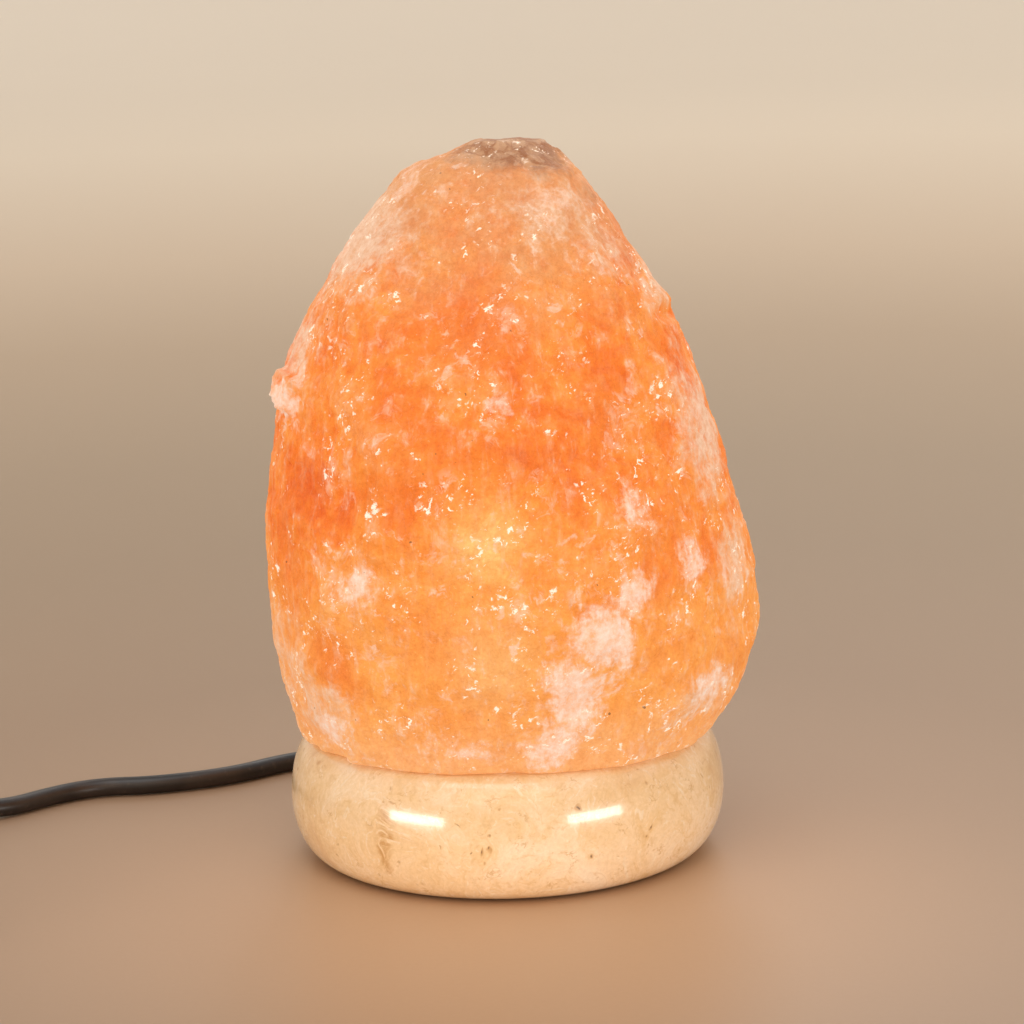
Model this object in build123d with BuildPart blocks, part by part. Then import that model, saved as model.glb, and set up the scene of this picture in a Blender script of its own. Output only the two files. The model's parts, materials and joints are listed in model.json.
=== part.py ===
"""Salt crystal lamp: a hewn, bored salt crystal on a turned stone base, with an E14 lampholder and
its 15 W bulb inside, and a mains cord with an in-line rocker switch, a tied coil and a plug.

Millimetres, +Z up. The origin is on the base's axis, at the table. The front is towards -Y.
"""
import math
import os
import random

from build123d import *

os.makedirs("parts", exist_ok=True)

# ---------------------------------------------------------------- driving dimensions
# Stone base
base_radius = 60.0
base_top = 35.0
felt_thickness = 0.6
felt_inner_radius = 26.0
felt_outer_radius = 44.0
lower_edge_width = 10.0
lower_edge_height = 16.9
upper_edge_width = 8.0
bore_radius = 22.0

# Salt crystal: its hewn sections, each (share of the height, left, right, front, back), with the
# last four measured from the base's axis
crystal_height = 162.0
crystal_sections = (
    (0.0, 57.6, 58.4, 56.0, 54.0),
    (0.074, 60.6, 66.0, 59.6, 57.0),
    (0.160, 63.4, 70.9, 62.8, 60.0),
    (0.278, 64.3, 69.6, 63.8, 60.6),
    (0.401, 64.3, 64.2, 61.4, 58.6),
    (0.512, 61.4, 59.6, 57.8, 55.4),
    (0.605, 58.6, 54.6, 53.0, 51.6),
    (0.654, 56.6, 51.6, 49.8, 49.2),
    (0.735, 49.6, 46.9, 44.0, 43.8),
    (0.846, 38.3, 34.6, 33.2, 33.0),
    (0.901, 31.2, 29.0, 26.0, 26.4),
    (0.951, 24.2, 23.2, 18.0, 19.0),
    (1.0, 3.5, 15.5, 5.0, 6.0),
)
crystal_sides = 24
hewn_spacing = 13.0
hewn_seed = 5
hewn_relief = 1.6
hewn_memory = 0.5
hewn_stagger = 0.07
hewn_swell = 0.03
hewn_fade = 25.0
crystal_bore_depth = 93.0

# Broken places in the crystal: a nub at its left edge, and a flake that is off its upper right edge
nub_centre = (-53.0, -13.0, 132.0)
nub_size = (13.0, 12.0, 9.5)
nub_turn = (8.0, 16.0, 24.0)
flake_ledge = (43.4, -12.0, 150.0)
flake_size = (20.0, 34.0, 9.0)
flake_turn = (0.0, 28.0, -16.0)

# Fixings from the base into the crystal
screw_circle_radius = 35.0
screw_count = 2
screw_radius = 2.2
screw_head_radius = 4.0
screw_head_height = 3.0
screw_reach = 22.0
washer_radius = 5.0
washer_thickness = 1.0
counterbore_depth = 6.5
wall_plug_radius = 4.0
wall_plug_length = 26.0
fixing_clearance = 0.15

# Lampholder and bulb, on the base's axis
holder_bottom = 20.0
holder_neck_radius = 6.5
holder_neck_height = 6.0
holder_radius = 14.0
holder_wall = 1.8
holder_split = 40.0
holder_lip_height = 9.0
holder_mouth_radius = 8.4
core_bottom = 34.0
core_top = 62.0
thread_shell_radius = 7.4
thread_shell_wall = 0.35
thread_shell_bottom = 52.5
thread_shell_top = 68.5
bulb_contact = 50.0
bulb_length = 57.0
bulb_glass_radius = 13.0
bulb_cap_radius = 6.8
bulb_cap_length = 23.0
glass_wall = 0.7
thread_depth = 0.6
thread_pitch = 2.82
thread_turns = 5
seat_gap = 0.1

# Spring clip
clip_thickness = 0.6
clip_width = 9.0
clip_touch_height = 52.0
clip_tip_height = 59.0

# Cord
cord_diameter = 5.4
floor_gap = 0.1
groove_clearance = 1.0
groove_depth = 8.0
core_diameter = 1.9
corner_share = 0.45
coil_outer_radius = 41.5
coil_pitch = 5.95
coil_half_turns = 12
coil_lift = 0.9
link_straight = 31.3
link_slant = 17.6
link_end_run = 38.9
tail_straight = 15.0
tail_slant = 18.0
tail_side = -3.8
tail_end_run = 15.5
tie_width = 8.0
tie_thickness = 0.7

# In-line switch
switch_length = 54.0
switch_width = 24.0
switch_height = 17.0
switch_parting = 7.5
switch_wall = 2.0
switch_corner = 7.0
rocker_radius = 9.5
rocker_half_width = 6.1
rocker_gap = 0.4
rocker_pivot_height = 13.0
rocker_tilt = 11.0
pivot_radius = 1.2
boot_length = 20.0
boot_radius = 5.0
boot_tip_radius = 3.7
cord_inside_case = 4.0

# Plug
plug_width = 35.3
plug_thickness = 13.7
plug_length = 28.0
plug_tail_width = 15.0
relief_length = 20.0
relief_radius = 4.8
relief_tip_radius = 3.6
relief_ribs = 5
pin_spacing = 18.6
pin_radius = 2.0
pin_core_radius = 1.5
pin_length = 19.0
pin_sleeve_length = 10.0

# ---------------------------------------------------------------- worked out from them
cord_radius = cord_diameter / 2
cord_height = cord_radius + floor_gap
underside_radius = base_radius - lower_edge_width
counterbore_radius = washer_radius + 0.5
groove_width = cord_diameter + 2 * groove_clearance
cord_exit = underside_radius
holder_mouth = core_top + holder_lip_height
lower_layer = cord_height + coil_lift
upper_layer = lower_layer + coil_pitch
switch_cord_height = switch_parting
plug_height = plug_thickness / 2 + floor_gap


def corner_radii(points):
    """The radius at each corner of a cord's route: a share of its shorter run, over the tangent of
    half its turn."""
    radii = []
    for before, corner, after in zip(points, points[1:], points[2:]):
        run_in = Vector(*corner) - Vector(*before)
        run_out = Vector(*after) - Vector(*corner)
        half_turn = math.radians(run_in.get_angle(run_out) / 2)
        radii.append(corner_share * min(run_in.length, run_out.length) / math.tan(half_turn))
    return radii


def cord_route(name, points):
    """A cord's centre line: straight runs joined by tangent arcs."""
    radii = corner_radii(points)
    with BuildLine() as route:
        FilletPolyline(*points, radius=radii)
    centre_line = route.wire()
    print(f"{name}: {centre_line.length:.1f} mm, radii", *(f"{radius:.0f}" for radius in radii))
    return centre_line


# ---------------------------------------------------------------- salt crystal
def hewn_stations():
    """The crystal's sections, with one more halfway up each tall span."""
    stations = [crystal_sections[0]]
    for section in crystal_sections[1:]:
        if (section[0] - stations[-1][0]) * crystal_height > hewn_spacing:
            stations.append(tuple((low + high) / 2 for low, high in zip(stations[-1], section)))
        stations.append(section)
    return stations


def hewn_corners(depths, share, left, right, front, back):
    """The corners of one section: an uneven ring with a chip of each depth, that keeps its reach
    left and right."""
    height = base_top + share * crystal_height
    corners = []
    for side, depth in enumerate(depths):
        angle = 2 * math.pi * side / crystal_sides
        inward = math.sin(angle) ** 2
        angle += hewn_stagger * math.sin(3 * side + height) * inward
        across = (right if math.cos(angle) > 0 else left) * math.cos(angle)
        deep = (back if math.sin(angle) > 0 else front) * math.sin(angle)
        reach = math.hypot(across, deep)
        swell = hewn_swell * (math.cos(3 * angle + height / 21) + 0.6 * math.cos(5 * angle - height / 13))
        scale = 1 + (swell + depth / max(reach, hewn_fade)) * min(1, 2 * inward)
        corners.append((across * scale, deep * scale))
    return corners


chisel = random.Random(hewn_seed)
chips = [0.0] * crystal_sides
with BuildPart() as salt_crystal:
    for station in hewn_stations():
        chips = [hewn_memory * chip + chisel.uniform(-hewn_relief, hewn_relief) for chip in chips]
        with BuildSketch(Plane.XY.offset(base_top + station[0] * crystal_height)):
            Polygon(*hewn_corners(chips, *station), align=None)
    loft(ruled=True)
    with Locations(Location(nub_centre, nub_turn)):
        Box(*nub_size)
    with Locations(Location(flake_ledge, flake_turn)):
        Box(*flake_size, align=(Align.MIN, Align.CENTER, Align.MIN), mode=Mode.SUBTRACT)
    with BuildSketch(Plane.XY.offset(base_top)):
        Circle(bore_radius)
    extrude(amount=crystal_bore_depth, mode=Mode.SUBTRACT)
    with BuildSketch(Plane.XY.offset(base_top)):
        with PolarLocations(screw_circle_radius, screw_count):
            Circle(wall_plug_radius)
    extrude(amount=wall_plug_length + fixing_clearance, mode=Mode.SUBTRACT)

# ---------------------------------------------------------------- stone base
with BuildPart() as marble_base:
    with BuildSketch(Plane.XZ):
        with BuildLine():
            lower_edge = EllipticalCenterArc(
                (underside_radius, felt_thickness + lower_edge_height),
                lower_edge_width, lower_edge_height, start_angle=-90, arc_size=90,
            )
            upper_edge = EllipticalCenterArc(
                (base_radius - upper_edge_width, felt_thickness + lower_edge_height),
                upper_edge_width, base_top - felt_thickness - lower_edge_height,
                start_angle=0, arc_size=90,
            )
            Line(upper_edge @ 1, (bore_radius, base_top))
            Line((bore_radius, base_top), (bore_radius, felt_thickness))
            Line((bore_radius, felt_thickness), lower_edge @ 0)
        make_face()
    revolve(axis=Axis.Z)
    with BuildSketch(Plane.XZ):
        with Locations((0, groove_depth - groove_width / 2)):
            Circle(groove_width / 2)
        with Locations((0, (groove_depth - groove_width / 2) / 2)):
            Rectangle(groove_width, groove_depth - groove_width / 2)
    extrude(amount=-base_radius, mode=Mode.SUBTRACT)
    with Locations(Plane.XY.offset(felt_thickness)):
        with PolarLocations(screw_circle_radius, screw_count):
            with Locations(Rotation(180, 0, 0)):
                CounterBoreHole(screw_radius + fixing_clearance, counterbore_radius, counterbore_depth)

with BuildPart() as felt_ring:
    with BuildSketch():
        Circle(felt_outer_radius)
        Circle(felt_inner_radius, mode=Mode.SUBTRACT)
        with Locations((0, felt_outer_radius)):
            Rectangle(groove_width, 2 * felt_outer_radius, mode=Mode.SUBTRACT)
    extrude(amount=felt_thickness)

screw_seat = felt_thickness + counterbore_depth
with BuildPart() as screw_washers:
    with BuildSketch(Plane.XY.offset(screw_seat - washer_thickness)):
        with PolarLocations(screw_circle_radius, screw_count):
            Circle(washer_radius)
            Circle(screw_radius + fixing_clearance, mode=Mode.SUBTRACT)
    extrude(amount=washer_thickness)

with BuildPart() as base_screws:
    with BuildSketch(Plane.XY.offset(screw_seat - washer_thickness)):
        with PolarLocations(screw_circle_radius, screw_count):
            Circle(screw_head_radius)
    extrude(amount=-screw_head_height)
    chamfer(faces().sort_by(Axis.Z)[:screw_count].edges(), screw_head_height / 4)
    with BuildSketch(Plane.XY.offset(screw_seat - washer_thickness)):
        with PolarLocations(screw_circle_radius, screw_count):
            Circle(screw_radius)
    extrude(amount=base_top + screw_reach - screw_seat + washer_thickness)

with BuildPart() as wall_plugs:
    with BuildSketch(Plane.XY.offset(base_top)):
        with PolarLocations(screw_circle_radius, screw_count):
            Circle(wall_plug_radius - fixing_clearance)
            Circle(screw_radius + fixing_clearance, mode=Mode.SUBTRACT)
    extrude(amount=wall_plug_length)

# ---------------------------------------------------------------- lampholder
shoulder = holder_bottom + holder_neck_height
with BuildPart() as holder_cap:
    with BuildSketch(Plane.XZ):
        with BuildLine():
            Polyline(
                (cord_radius + seat_gap, holder_bottom),
                (holder_neck_radius, holder_bottom),
                (holder_neck_radius, shoulder),
                (holder_radius, shoulder + holder_neck_height),
                (holder_radius, holder_split),
                (holder_radius - holder_wall, holder_split),
                (holder_radius - holder_wall, core_bottom),
                (holder_neck_radius, shoulder + holder_wall),
                (cord_radius + seat_gap, shoulder + holder_wall),
                close=True,
            )
        make_face()
    revolve(axis=Axis.Z)
    grip_height = holder_bottom + holder_neck_height / 2
    with BuildSketch(Plane.XZ.offset(holder_neck_radius)):
        with Locations((0, grip_height)):
            Circle(1.6)
    extrude(amount=-(holder_neck_radius - cord_radius), mode=Mode.SUBTRACT)

with BuildPart() as grip_screw:
    with BuildSketch(Plane.XZ.offset(cord_radius + seat_gap)):
        with Locations((0, grip_height)):
            Circle(1.5)
    extrude(amount=holder_neck_radius - cord_radius + 1.5)
    chamfer(faces().sort_by(Axis.Y)[0].edges(), 0.3)

with BuildPart() as holder_sleeve:
    sleeve_bottom = holder_split + clip_thickness
    with BuildSketch(Plane.XZ):
        with BuildLine():
            Polyline(
                (holder_radius - holder_wall, sleeve_bottom),
                (holder_radius, sleeve_bottom),
                (holder_radius, core_top),
                (holder_radius - 1.5, holder_mouth - 1.5),
                (holder_radius - 3.0, holder_mouth),
                (holder_mouth_radius, holder_mouth),
                (holder_mouth_radius, holder_mouth - holder_wall),
                (holder_radius - holder_wall, core_top + holder_wall),
                close=True,
            )
        make_face()
    revolve(axis=Axis.Z)

core_radius = holder_radius - holder_wall - seat_gap
core_floor = bulb_contact - 2.5
with BuildPart() as holder_core:
    with BuildSketch(Plane.XY.offset(core_bottom)):
        Circle(core_radius)
    extrude(amount=core_top - core_bottom)
    with BuildSketch(Plane.XY.offset(core_floor)):
        Circle(thread_shell_radius + seat_gap)
    extrude(amount=core_top - core_floor, mode=Mode.SUBTRACT)
    # the two terminal chambers, open downwards
    with BuildSketch(Plane.XY.offset(core_bottom)):
        with Locations((-7.0, 0), (7.0, 0)):
            Rectangle(6.2, 7.2)
    extrude(amount=8.2, mode=Mode.SUBTRACT)
    # the slots for the two contacts, from the chambers into the well
    with BuildSketch(Plane.XY.offset(core_bottom)):
        with Locations((-5.0, 0), (5.0, 0)):
            Rectangle(0.9, 4.6)
    extrude(amount=core_floor - core_bottom, mode=Mode.SUBTRACT)

with BuildPart() as holder_terminals:
    with BuildSketch(Plane.XY.offset(core_bottom + 2.0)):
        with Locations((-7.6, 0), (7.6, 0)):
            Rectangle(4.0, 6.6)
    extrude(amount=6.0)
    fillet(edges().filter_by(Axis.Z), 0.8)
    with BuildSketch(Plane.XY.offset(core_bottom + 2.0)):
        with Locations((-7.6, 0), (7.6, 0)):
            Circle(core_diameter / 2 + seat_gap)
    extrude(amount=3.5, mode=Mode.SUBTRACT)

with BuildPart() as terminal_screws:
    with BuildSketch(Plane.XZ.offset(3.3)):
        with Locations((-7.6, core_bottom + 3.6), (7.6, core_bottom + 3.6)):
            Circle(1.3)
    extrude(amount=0.25)
    with BuildSketch(Plane.XZ.offset(3.3)):
        with Locations((-7.6, core_bottom + 6.8), (7.6, core_bottom + 6.8)):
            Circle(1.0)
    extrude(amount=0.25)

with BuildPart() as thread_shell:
    with BuildSketch(Plane.XZ):
        with BuildLine():
            Polyline(
                (thread_shell_radius - thread_shell_wall, thread_shell_bottom),
                (thread_shell_radius, thread_shell_bottom),
                (thread_shell_radius, thread_shell_top - 1.0),
                (thread_shell_radius + 0.6, thread_shell_top),
                (thread_shell_radius + 0.6 - thread_shell_wall, thread_shell_top),
                (thread_shell_radius - thread_shell_wall, thread_shell_top - 1.0),
                close=True,
            )
        make_face()
    revolve(axis=Axis.Z)

leaf = 0.4
with BuildPart() as centre_contact:
    with BuildSketch(Plane.XZ):
        with BuildLine():
            Polyline(
                (-5.2, core_bottom + 3.0),
                (-5.2 + leaf, core_bottom + 3.0),
                (-5.2 + leaf, core_floor + 0.3),
                (0.0, bulb_contact - seat_gap - leaf),
                (2.4, bulb_contact - seat_gap - leaf),
                (2.4, bulb_contact - seat_gap),
                (0.0, bulb_contact - seat_gap),
                (-5.2, core_floor + 0.3 + leaf),
                close=True,
            )
        make_face()
    extrude(amount=2.0, both=True)

with BuildPart() as side_contact:
    with BuildSketch(Plane.XZ):
        with BuildLine():
            Polyline(
                (5.2 - leaf, core_bottom + 3.0),
                (5.2, core_bottom + 3.0),
                (5.2, core_floor + 0.1),
                (thread_shell_radius - 0.5, core_floor + 0.1),
                (thread_shell_radius - 0.1, thread_shell_bottom - 0.05),
                (thread_shell_radius - 0.1 - leaf, thread_shell_bottom - 0.05),
                (thread_shell_radius - 0.8 - leaf, core_floor + 0.1 + leaf),
                (5.2 - leaf, core_floor + 0.1 + leaf),
                close=True,
            )
        make_face()
    extrude(amount=1.6, both=True)

clip_reach = math.sqrt(bore_radius**2 - (clip_width / 2) ** 2) - seat_gap
with BuildPart() as spring_clip:
    with BuildSketch(Plane.XY.offset(holder_split)):
        Circle(holder_radius + 1.0)
        Circle(core_radius + seat_gap, mode=Mode.SUBTRACT)
    extrude(amount=clip_thickness)
    with BuildSketch(Plane.XZ):
        with BuildLine():
            Polyline(
                (holder_radius + 0.2, holder_split),
                (holder_radius + 2.8, holder_split),
                (clip_reach, clip_touch_height),
                (clip_reach - 1.6, clip_tip_height),
                (clip_reach - 1.6 - clip_thickness, clip_tip_height),
                (clip_reach - clip_thickness, clip_touch_height),
                (holder_radius + 2.4, holder_split + clip_thickness),
                (holder_radius + 0.2, holder_split + clip_thickness),
                close=True,
            )
        make_face()
        mirror(about=Plane.YZ)
    extrude(amount=clip_width / 2, both=True)

# ---------------------------------------------------------------- bulb
cap_top = bulb_contact + bulb_cap_length
bulb_top = bulb_contact + bulb_length
insulator_top = bulb_contact + 3.6
neck_radius = bulb_cap_radius - thread_depth - 0.6

with BuildPart() as contact_solder:
    with BuildSketch(Plane.XZ):
        with BuildLine():
            dome = ThreePointArc(
                (0, bulb_contact), (1.4, bulb_contact + 0.35), (2.2, bulb_contact + 1.4)
            )
            Polyline(dome @ 1, (0, bulb_contact + 1.4), (0, bulb_contact))
        make_face()
    revolve(axis=Axis.Z)

with BuildPart() as cap_insulator:
    with BuildSketch(Plane.XZ):
        with BuildLine():
            Polyline(
                (0, bulb_contact + 1.4),
                (2.6, bulb_contact + 1.4),
                (neck_radius, insulator_top),
                (0, insulator_top),
                close=True,
            )
        make_face()
    revolve(axis=Axis.Z)

thread_bottom = insulator_top + 1.2
with BuildPart() as bulb_cap:
    root_radius = bulb_cap_radius - thread_depth
    ridges = [(root_radius, thread_bottom)]
    for turn in range(thread_turns):
        ridge_bottom = thread_bottom + turn * thread_pitch
        ridges.append((bulb_cap_radius, ridge_bottom + thread_pitch / 2))
        ridges.append((root_radius, ridge_bottom + thread_pitch))
    with BuildSketch(Plane.XZ):
        with BuildLine():
            Polyline(
                (0, insulator_top),
                (root_radius, insulator_top),
                *ridges,
                (bulb_cap_radius + 0.2, cap_top - 1.5),
                (bulb_cap_radius + 0.2, cap_top),
                (root_radius - 0.3, cap_top),
                (root_radius - 0.3, insulator_top + 0.5),
                (0, insulator_top + 0.5),
                close=True,
            )
        make_face()
    revolve(axis=Axis.Z)

glass_bottom = cap_top - 7.0
widest = bulb_top - bulb_glass_radius
with BuildPart() as bulb_glass:
    with BuildSketch(Plane.XZ):
        with BuildLine():
            neck = Line((neck_radius, glass_bottom), (neck_radius, cap_top + 1.0))
            flank = TangentArc(neck @ 1, (bulb_glass_radius, widest), tangent=(0.35, 1))
            crown = CenterArc((0, widest), bulb_glass_radius, 0, 90)
            inner_crown = CenterArc((0, widest), bulb_glass_radius - glass_wall, 0, 90)
            inner_flank = TangentArc(
                (neck_radius - glass_wall, cap_top + 1.0),
                (bulb_glass_radius - glass_wall, widest), tangent=(0.35, 1),
            )
            Line(crown @ 1, inner_crown @ 1)
            Line(inner_flank @ 0, (neck_radius - glass_wall, glass_bottom))
            Line((neck_radius - glass_wall, glass_bottom), neck @ 0)
        make_face()
    revolve(axis=Axis.Z)

stem_top = cap_top + 6.0
with BuildPart() as glass_stem:
    with BuildSketch(Plane.XZ):
        with BuildLine():
            Polyline(
                (0, glass_bottom),
                (neck_radius - glass_wall - seat_gap, glass_bottom),
                (2.2, glass_bottom + 4.0),
                (1.8, stem_top),
                (0, stem_top),
                close=True,
            )
        make_face()
    revolve(axis=Axis.Z)

filament_height = bulb_contact + 37.0
filament_spread = 5.0
with BuildPart() as lead_wires:
    for side in (-1, 1):
        with BuildLine() as wire:
            Line(
                (side * 1.1, 0, stem_top + seat_gap),
                (side * filament_spread, 0, filament_height - 0.5),
            )
        with BuildSketch(Plane(wire.line @ 0, z_dir=wire.line % 0)):
            Circle(0.25)
        sweep(path=wire.line)

with BuildPart() as filament:
    with BuildLine() as coiled_wire:
        ThreePointArc(
            (-filament_spread, 0, filament_height),
            (0, 0, filament_height + 2.0),
            (filament_spread, 0, filament_height),
        )
    with BuildSketch(Plane(coiled_wire.line @ 0, z_dir=coiled_wire.line % 0)):
        Circle(0.35)
    sweep(path=coiled_wire.line)

# ---------------------------------------------------------------- cord inside the lamp
bend = holder_bottom - cord_height
with BuildPart() as cord_in_base:
    with BuildLine() as held_route:
        Line((0, 0, shoulder + holder_wall), (0, 0, holder_bottom))
        ThreePointArc(
            (0, 0, holder_bottom),
            (0, bend * (1 - math.sqrt(0.5)), holder_bottom - bend * math.sqrt(0.5)),
            (0, bend, cord_height),
        )
        Line((0, bend, cord_height), (0, cord_exit, cord_height))
    held_line = held_route.wire()
    with BuildSketch(Plane(held_line @ 0, z_dir=held_line % 0)):
        Circle(cord_radius)
    sweep(path=held_line)

jacket_end = shoulder + holder_wall
terminal_entry = core_bottom + 5.3


def conductor(side):
    """The line of one core, from the cord's end up into its terminal."""
    with BuildLine() as core:
        FilletPolyline(
            (side * 1.1, 0, jacket_end),
            (side * 1.1, 0, jacket_end + 3.0),
            (side * 7.6, 0, core_bottom - 2.0),
            (side * 7.6, 0, terminal_entry),
            radius=(1.6, 1.6),
        )
    return core.wire()


brown_line = conductor(-1)
with BuildPart() as core_brown:
    with BuildSketch(Plane(brown_line @ 0, z_dir=brown_line % 0)):
        Circle(core_diameter / 2)
    sweep(path=brown_line)

blue_line = conductor(1)
with BuildPart() as core_blue:
    with BuildSketch(Plane(blue_line @ 0, z_dir=blue_line % 0)):
        Circle(core_diameter / 2)
    sweep(path=blue_line)

# ---------------------------------------------------------------- free cord, lamp to switch
lead_points = (
    (0.0, cord_exit, cord_height),
    (0.0, 69.6, cord_height),
    (-9.6, 84.5, cord_height),
    (-25.7, 91.8, cord_height),
    (-44.5, 89.0, cord_height),
    (-66.0, 80.2, cord_height),
    (-81.8, 66.4, cord_height),
    (-104.5, 58.8, cord_height),
    (-118.5, 59.0, cord_height),
    (-131.0, 53.2, cord_height),
    (-149.0, 35.5, cord_height),
    (-170.5, 33.0, switch_cord_height),
    (-204.0, 33.0, switch_cord_height),
)
switch_line = lead_points[-1][1]
switch_right = lead_points[-1][0] + cord_inside_case
switch_centre = switch_right - switch_length / 2
switch_left = switch_right - switch_length

lead_route = cord_route("cord_lead", lead_points)
with BuildPart() as cord_lead:
    with BuildSketch(Plane(lead_route @ 0, z_dir=lead_route % 0)):
        Circle(cord_radius)
    sweep(path=lead_route)

# ---------------------------------------------------------------- free cord, switch to coil
link_points = (
    (switch_left + cord_inside_case, switch_line, switch_cord_height),
    (switch_left - link_straight, switch_line, switch_cord_height),
    (switch_left - link_straight - link_slant, switch_line - link_slant, lower_layer),
    (
        switch_left - link_straight - link_slant,
        switch_line - link_slant - link_end_run,
        lower_layer,
    ),
)
coil_start = Vector(*link_points[-1])
coil_y = coil_start.Y - cord_diameter
reversal = coil_half_turns // 2

link_route = cord_route("cord_link", link_points)
with BuildPart() as cord_link:
    with BuildSketch(Plane(link_route @ 0, z_dir=link_route % 0)):
        Circle(cord_radius)
    sweep(path=link_route)

# ---------------------------------------------------------------- the tied coil
with BuildLine() as coil_line:
    Line(coil_start, (coil_start.X, coil_y, lower_layer))
    x, z = coil_start.X, lower_layer
    for half_turn in range(coil_half_turns):
        inward = reversal - abs(reversal - half_turn)
        radius = coil_outer_radius - inward * coil_pitch / 2
        side = -1 if half_turn % 2 == 0 else 1
        climb = coil_pitch if half_turn == reversal else 0.0
        end_x = x - side * 2 * radius
        reach = math.hypot(2 * radius, climb) / 2
        ThreePointArc(
            (x, coil_y, z),
            ((x + end_x) / 2, coil_y + side * reach, z + climb / 2),
            (end_x, coil_y, z + climb),
        )
        x, z = end_x, z + climb
    # a last quarter turn, out along +X
    last_diagonal = coil_outer_radius * math.sqrt(0.5)
    ThreePointArc(
        (x, coil_y, z),
        (x + coil_outer_radius - last_diagonal, coil_y - last_diagonal, z),
        (x + coil_outer_radius, coil_y - coil_outer_radius, z),
    )
    coil_end = Vector(x + coil_outer_radius + cord_diameter, coil_y - coil_outer_radius, z)
    Line((x + coil_outer_radius, coil_end.Y, z), coil_end)


def least_gap(line, diameter):
    """The least gap between the tube's own turns, measured on points along its line."""
    steps = int(line.length / 2)
    points = [line.position_at(step / steps) for step in range(steps + 1)]
    apart = int(math.pi * diameter / 2) + 2
    nearest = min(
        (first - second).length
        for index, first in enumerate(points)
        for second in points[index + apart:]
    )
    return nearest - diameter


coil_route = coil_line.wire()
print(f"cord_coil: {coil_route.length:.1f} mm, least gap {least_gap(coil_route, cord_diameter):.2f}")
with BuildPart() as cord_coil:
    with BuildSketch(Plane(coil_route @ 0, z_dir=coil_route % 0)):
        Circle(cord_radius)
    sweep(path=coil_route)

# ---------------------------------------------------------------- the coil's tie
coil_x = coil_start.X + coil_outer_radius
tie_outer_y = coil_y + coil_outer_radius - coil_pitch / 2 + cord_radius + 0.2
tie_inner_y = coil_y + coil_outer_radius - (reversal - 1) * coil_pitch / 2 - cord_radius - 1.1
tie_bottom = lower_layer - cord_radius
tie_top = upper_layer + cord_radius
with BuildPart() as coil_tie:
    with BuildSketch(Plane.YZ.offset(coil_x)):
        with Locations(((tie_inner_y + tie_outer_y) / 2, (tie_bottom + tie_top) / 2)):
            hollow_width = tie_outer_y - tie_inner_y
            hollow_height = tie_top - tie_bottom + 0.3
            RectangleRounded(
                hollow_width + 2 * tie_thickness, hollow_height + 2 * tie_thickness, 3.2
            )
            RectangleRounded(
                hollow_width, hollow_height, 3.2 - tie_thickness, mode=Mode.SUBTRACT
            )
    extrude(amount=tie_width / 2, both=True)

# ---------------------------------------------------------------- coil to plug
tail_points = (
    (coil_end.X, coil_end.Y, coil_end.Z),
    (coil_end.X + tail_straight, coil_end.Y, coil_end.Z),
    (coil_end.X + tail_straight + tail_slant, coil_end.Y + tail_side, plug_height),
    (
        coil_end.X + tail_straight + tail_slant + tail_end_run,
        coil_end.Y + tail_side,
        plug_height,
    ),
)
tail_route = cord_route("cord_tail", tail_points)
with BuildPart() as cord_tail:
    with BuildSketch(Plane(tail_route @ 0, z_dir=tail_route % 0)):
        Circle(cord_radius)
    sweep(path=tail_route)

relief_tip = tail_points[-1][0]
plug_line = tail_points[-1][1]
plug_tail = relief_tip + relief_length
plug_face = plug_tail + plug_length

# ---------------------------------------------------------------- plug
with BuildPart() as plug_relief:
    rib_step = relief_length / relief_ribs
    with BuildSketch(Plane.XZ.offset(-plug_line)):
        with BuildLine():
            ribs = []
            for rib in range(relief_ribs):
                start = relief_tip + rib * rib_step
                share = rib / (relief_ribs - 1)
                outer = relief_tip_radius + share * (relief_radius - relief_tip_radius)
                ribs.append((start, plug_height + outer))
                ribs.append((start + 0.6 * rib_step, plug_height + outer))
                ribs.append((start + 0.6 * rib_step, plug_height + outer - 0.7))
                ribs.append((start + rib_step, plug_height + outer - 0.7))
            Polyline((relief_tip, plug_height), *ribs, (plug_tail, plug_height), close=True)
        make_face()
    revolve(axis=Axis((relief_tip, plug_line, plug_height), (1, 0, 0)))

with BuildPart() as plug_body:
    with BuildSketch(Plane.XY.offset(floor_gap)):
        with BuildLine():
            Polyline(
                (plug_tail, plug_line - plug_tail_width / 2),
                (plug_face - 0.45 * plug_length, plug_line - plug_width / 2),
                (plug_face, plug_line - plug_width / 2),
                (plug_face, plug_line + plug_width / 2),
                (plug_face - 0.45 * plug_length, plug_line + plug_width / 2),
                (plug_tail, plug_line + plug_tail_width / 2),
                close=True,
            )
        make_face()
    extrude(amount=plug_thickness)
    fillet(edges().filter_by(Axis.Z), 3.0)
    fillet(faces().sort_by(Axis.Z)[-1].edges() + faces().sort_by(Axis.Z)[0].edges(), 2.2)
    with BuildSketch(Plane.YZ.offset(plug_face)):
        with Locations((plug_line - pin_spacing / 2, plug_height)):
            Circle(pin_core_radius + seat_gap)
        with Locations((plug_line + pin_spacing / 2, plug_height)):
            Circle(pin_core_radius + seat_gap)
    extrude(amount=-plug_length / 3, mode=Mode.SUBTRACT)

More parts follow.
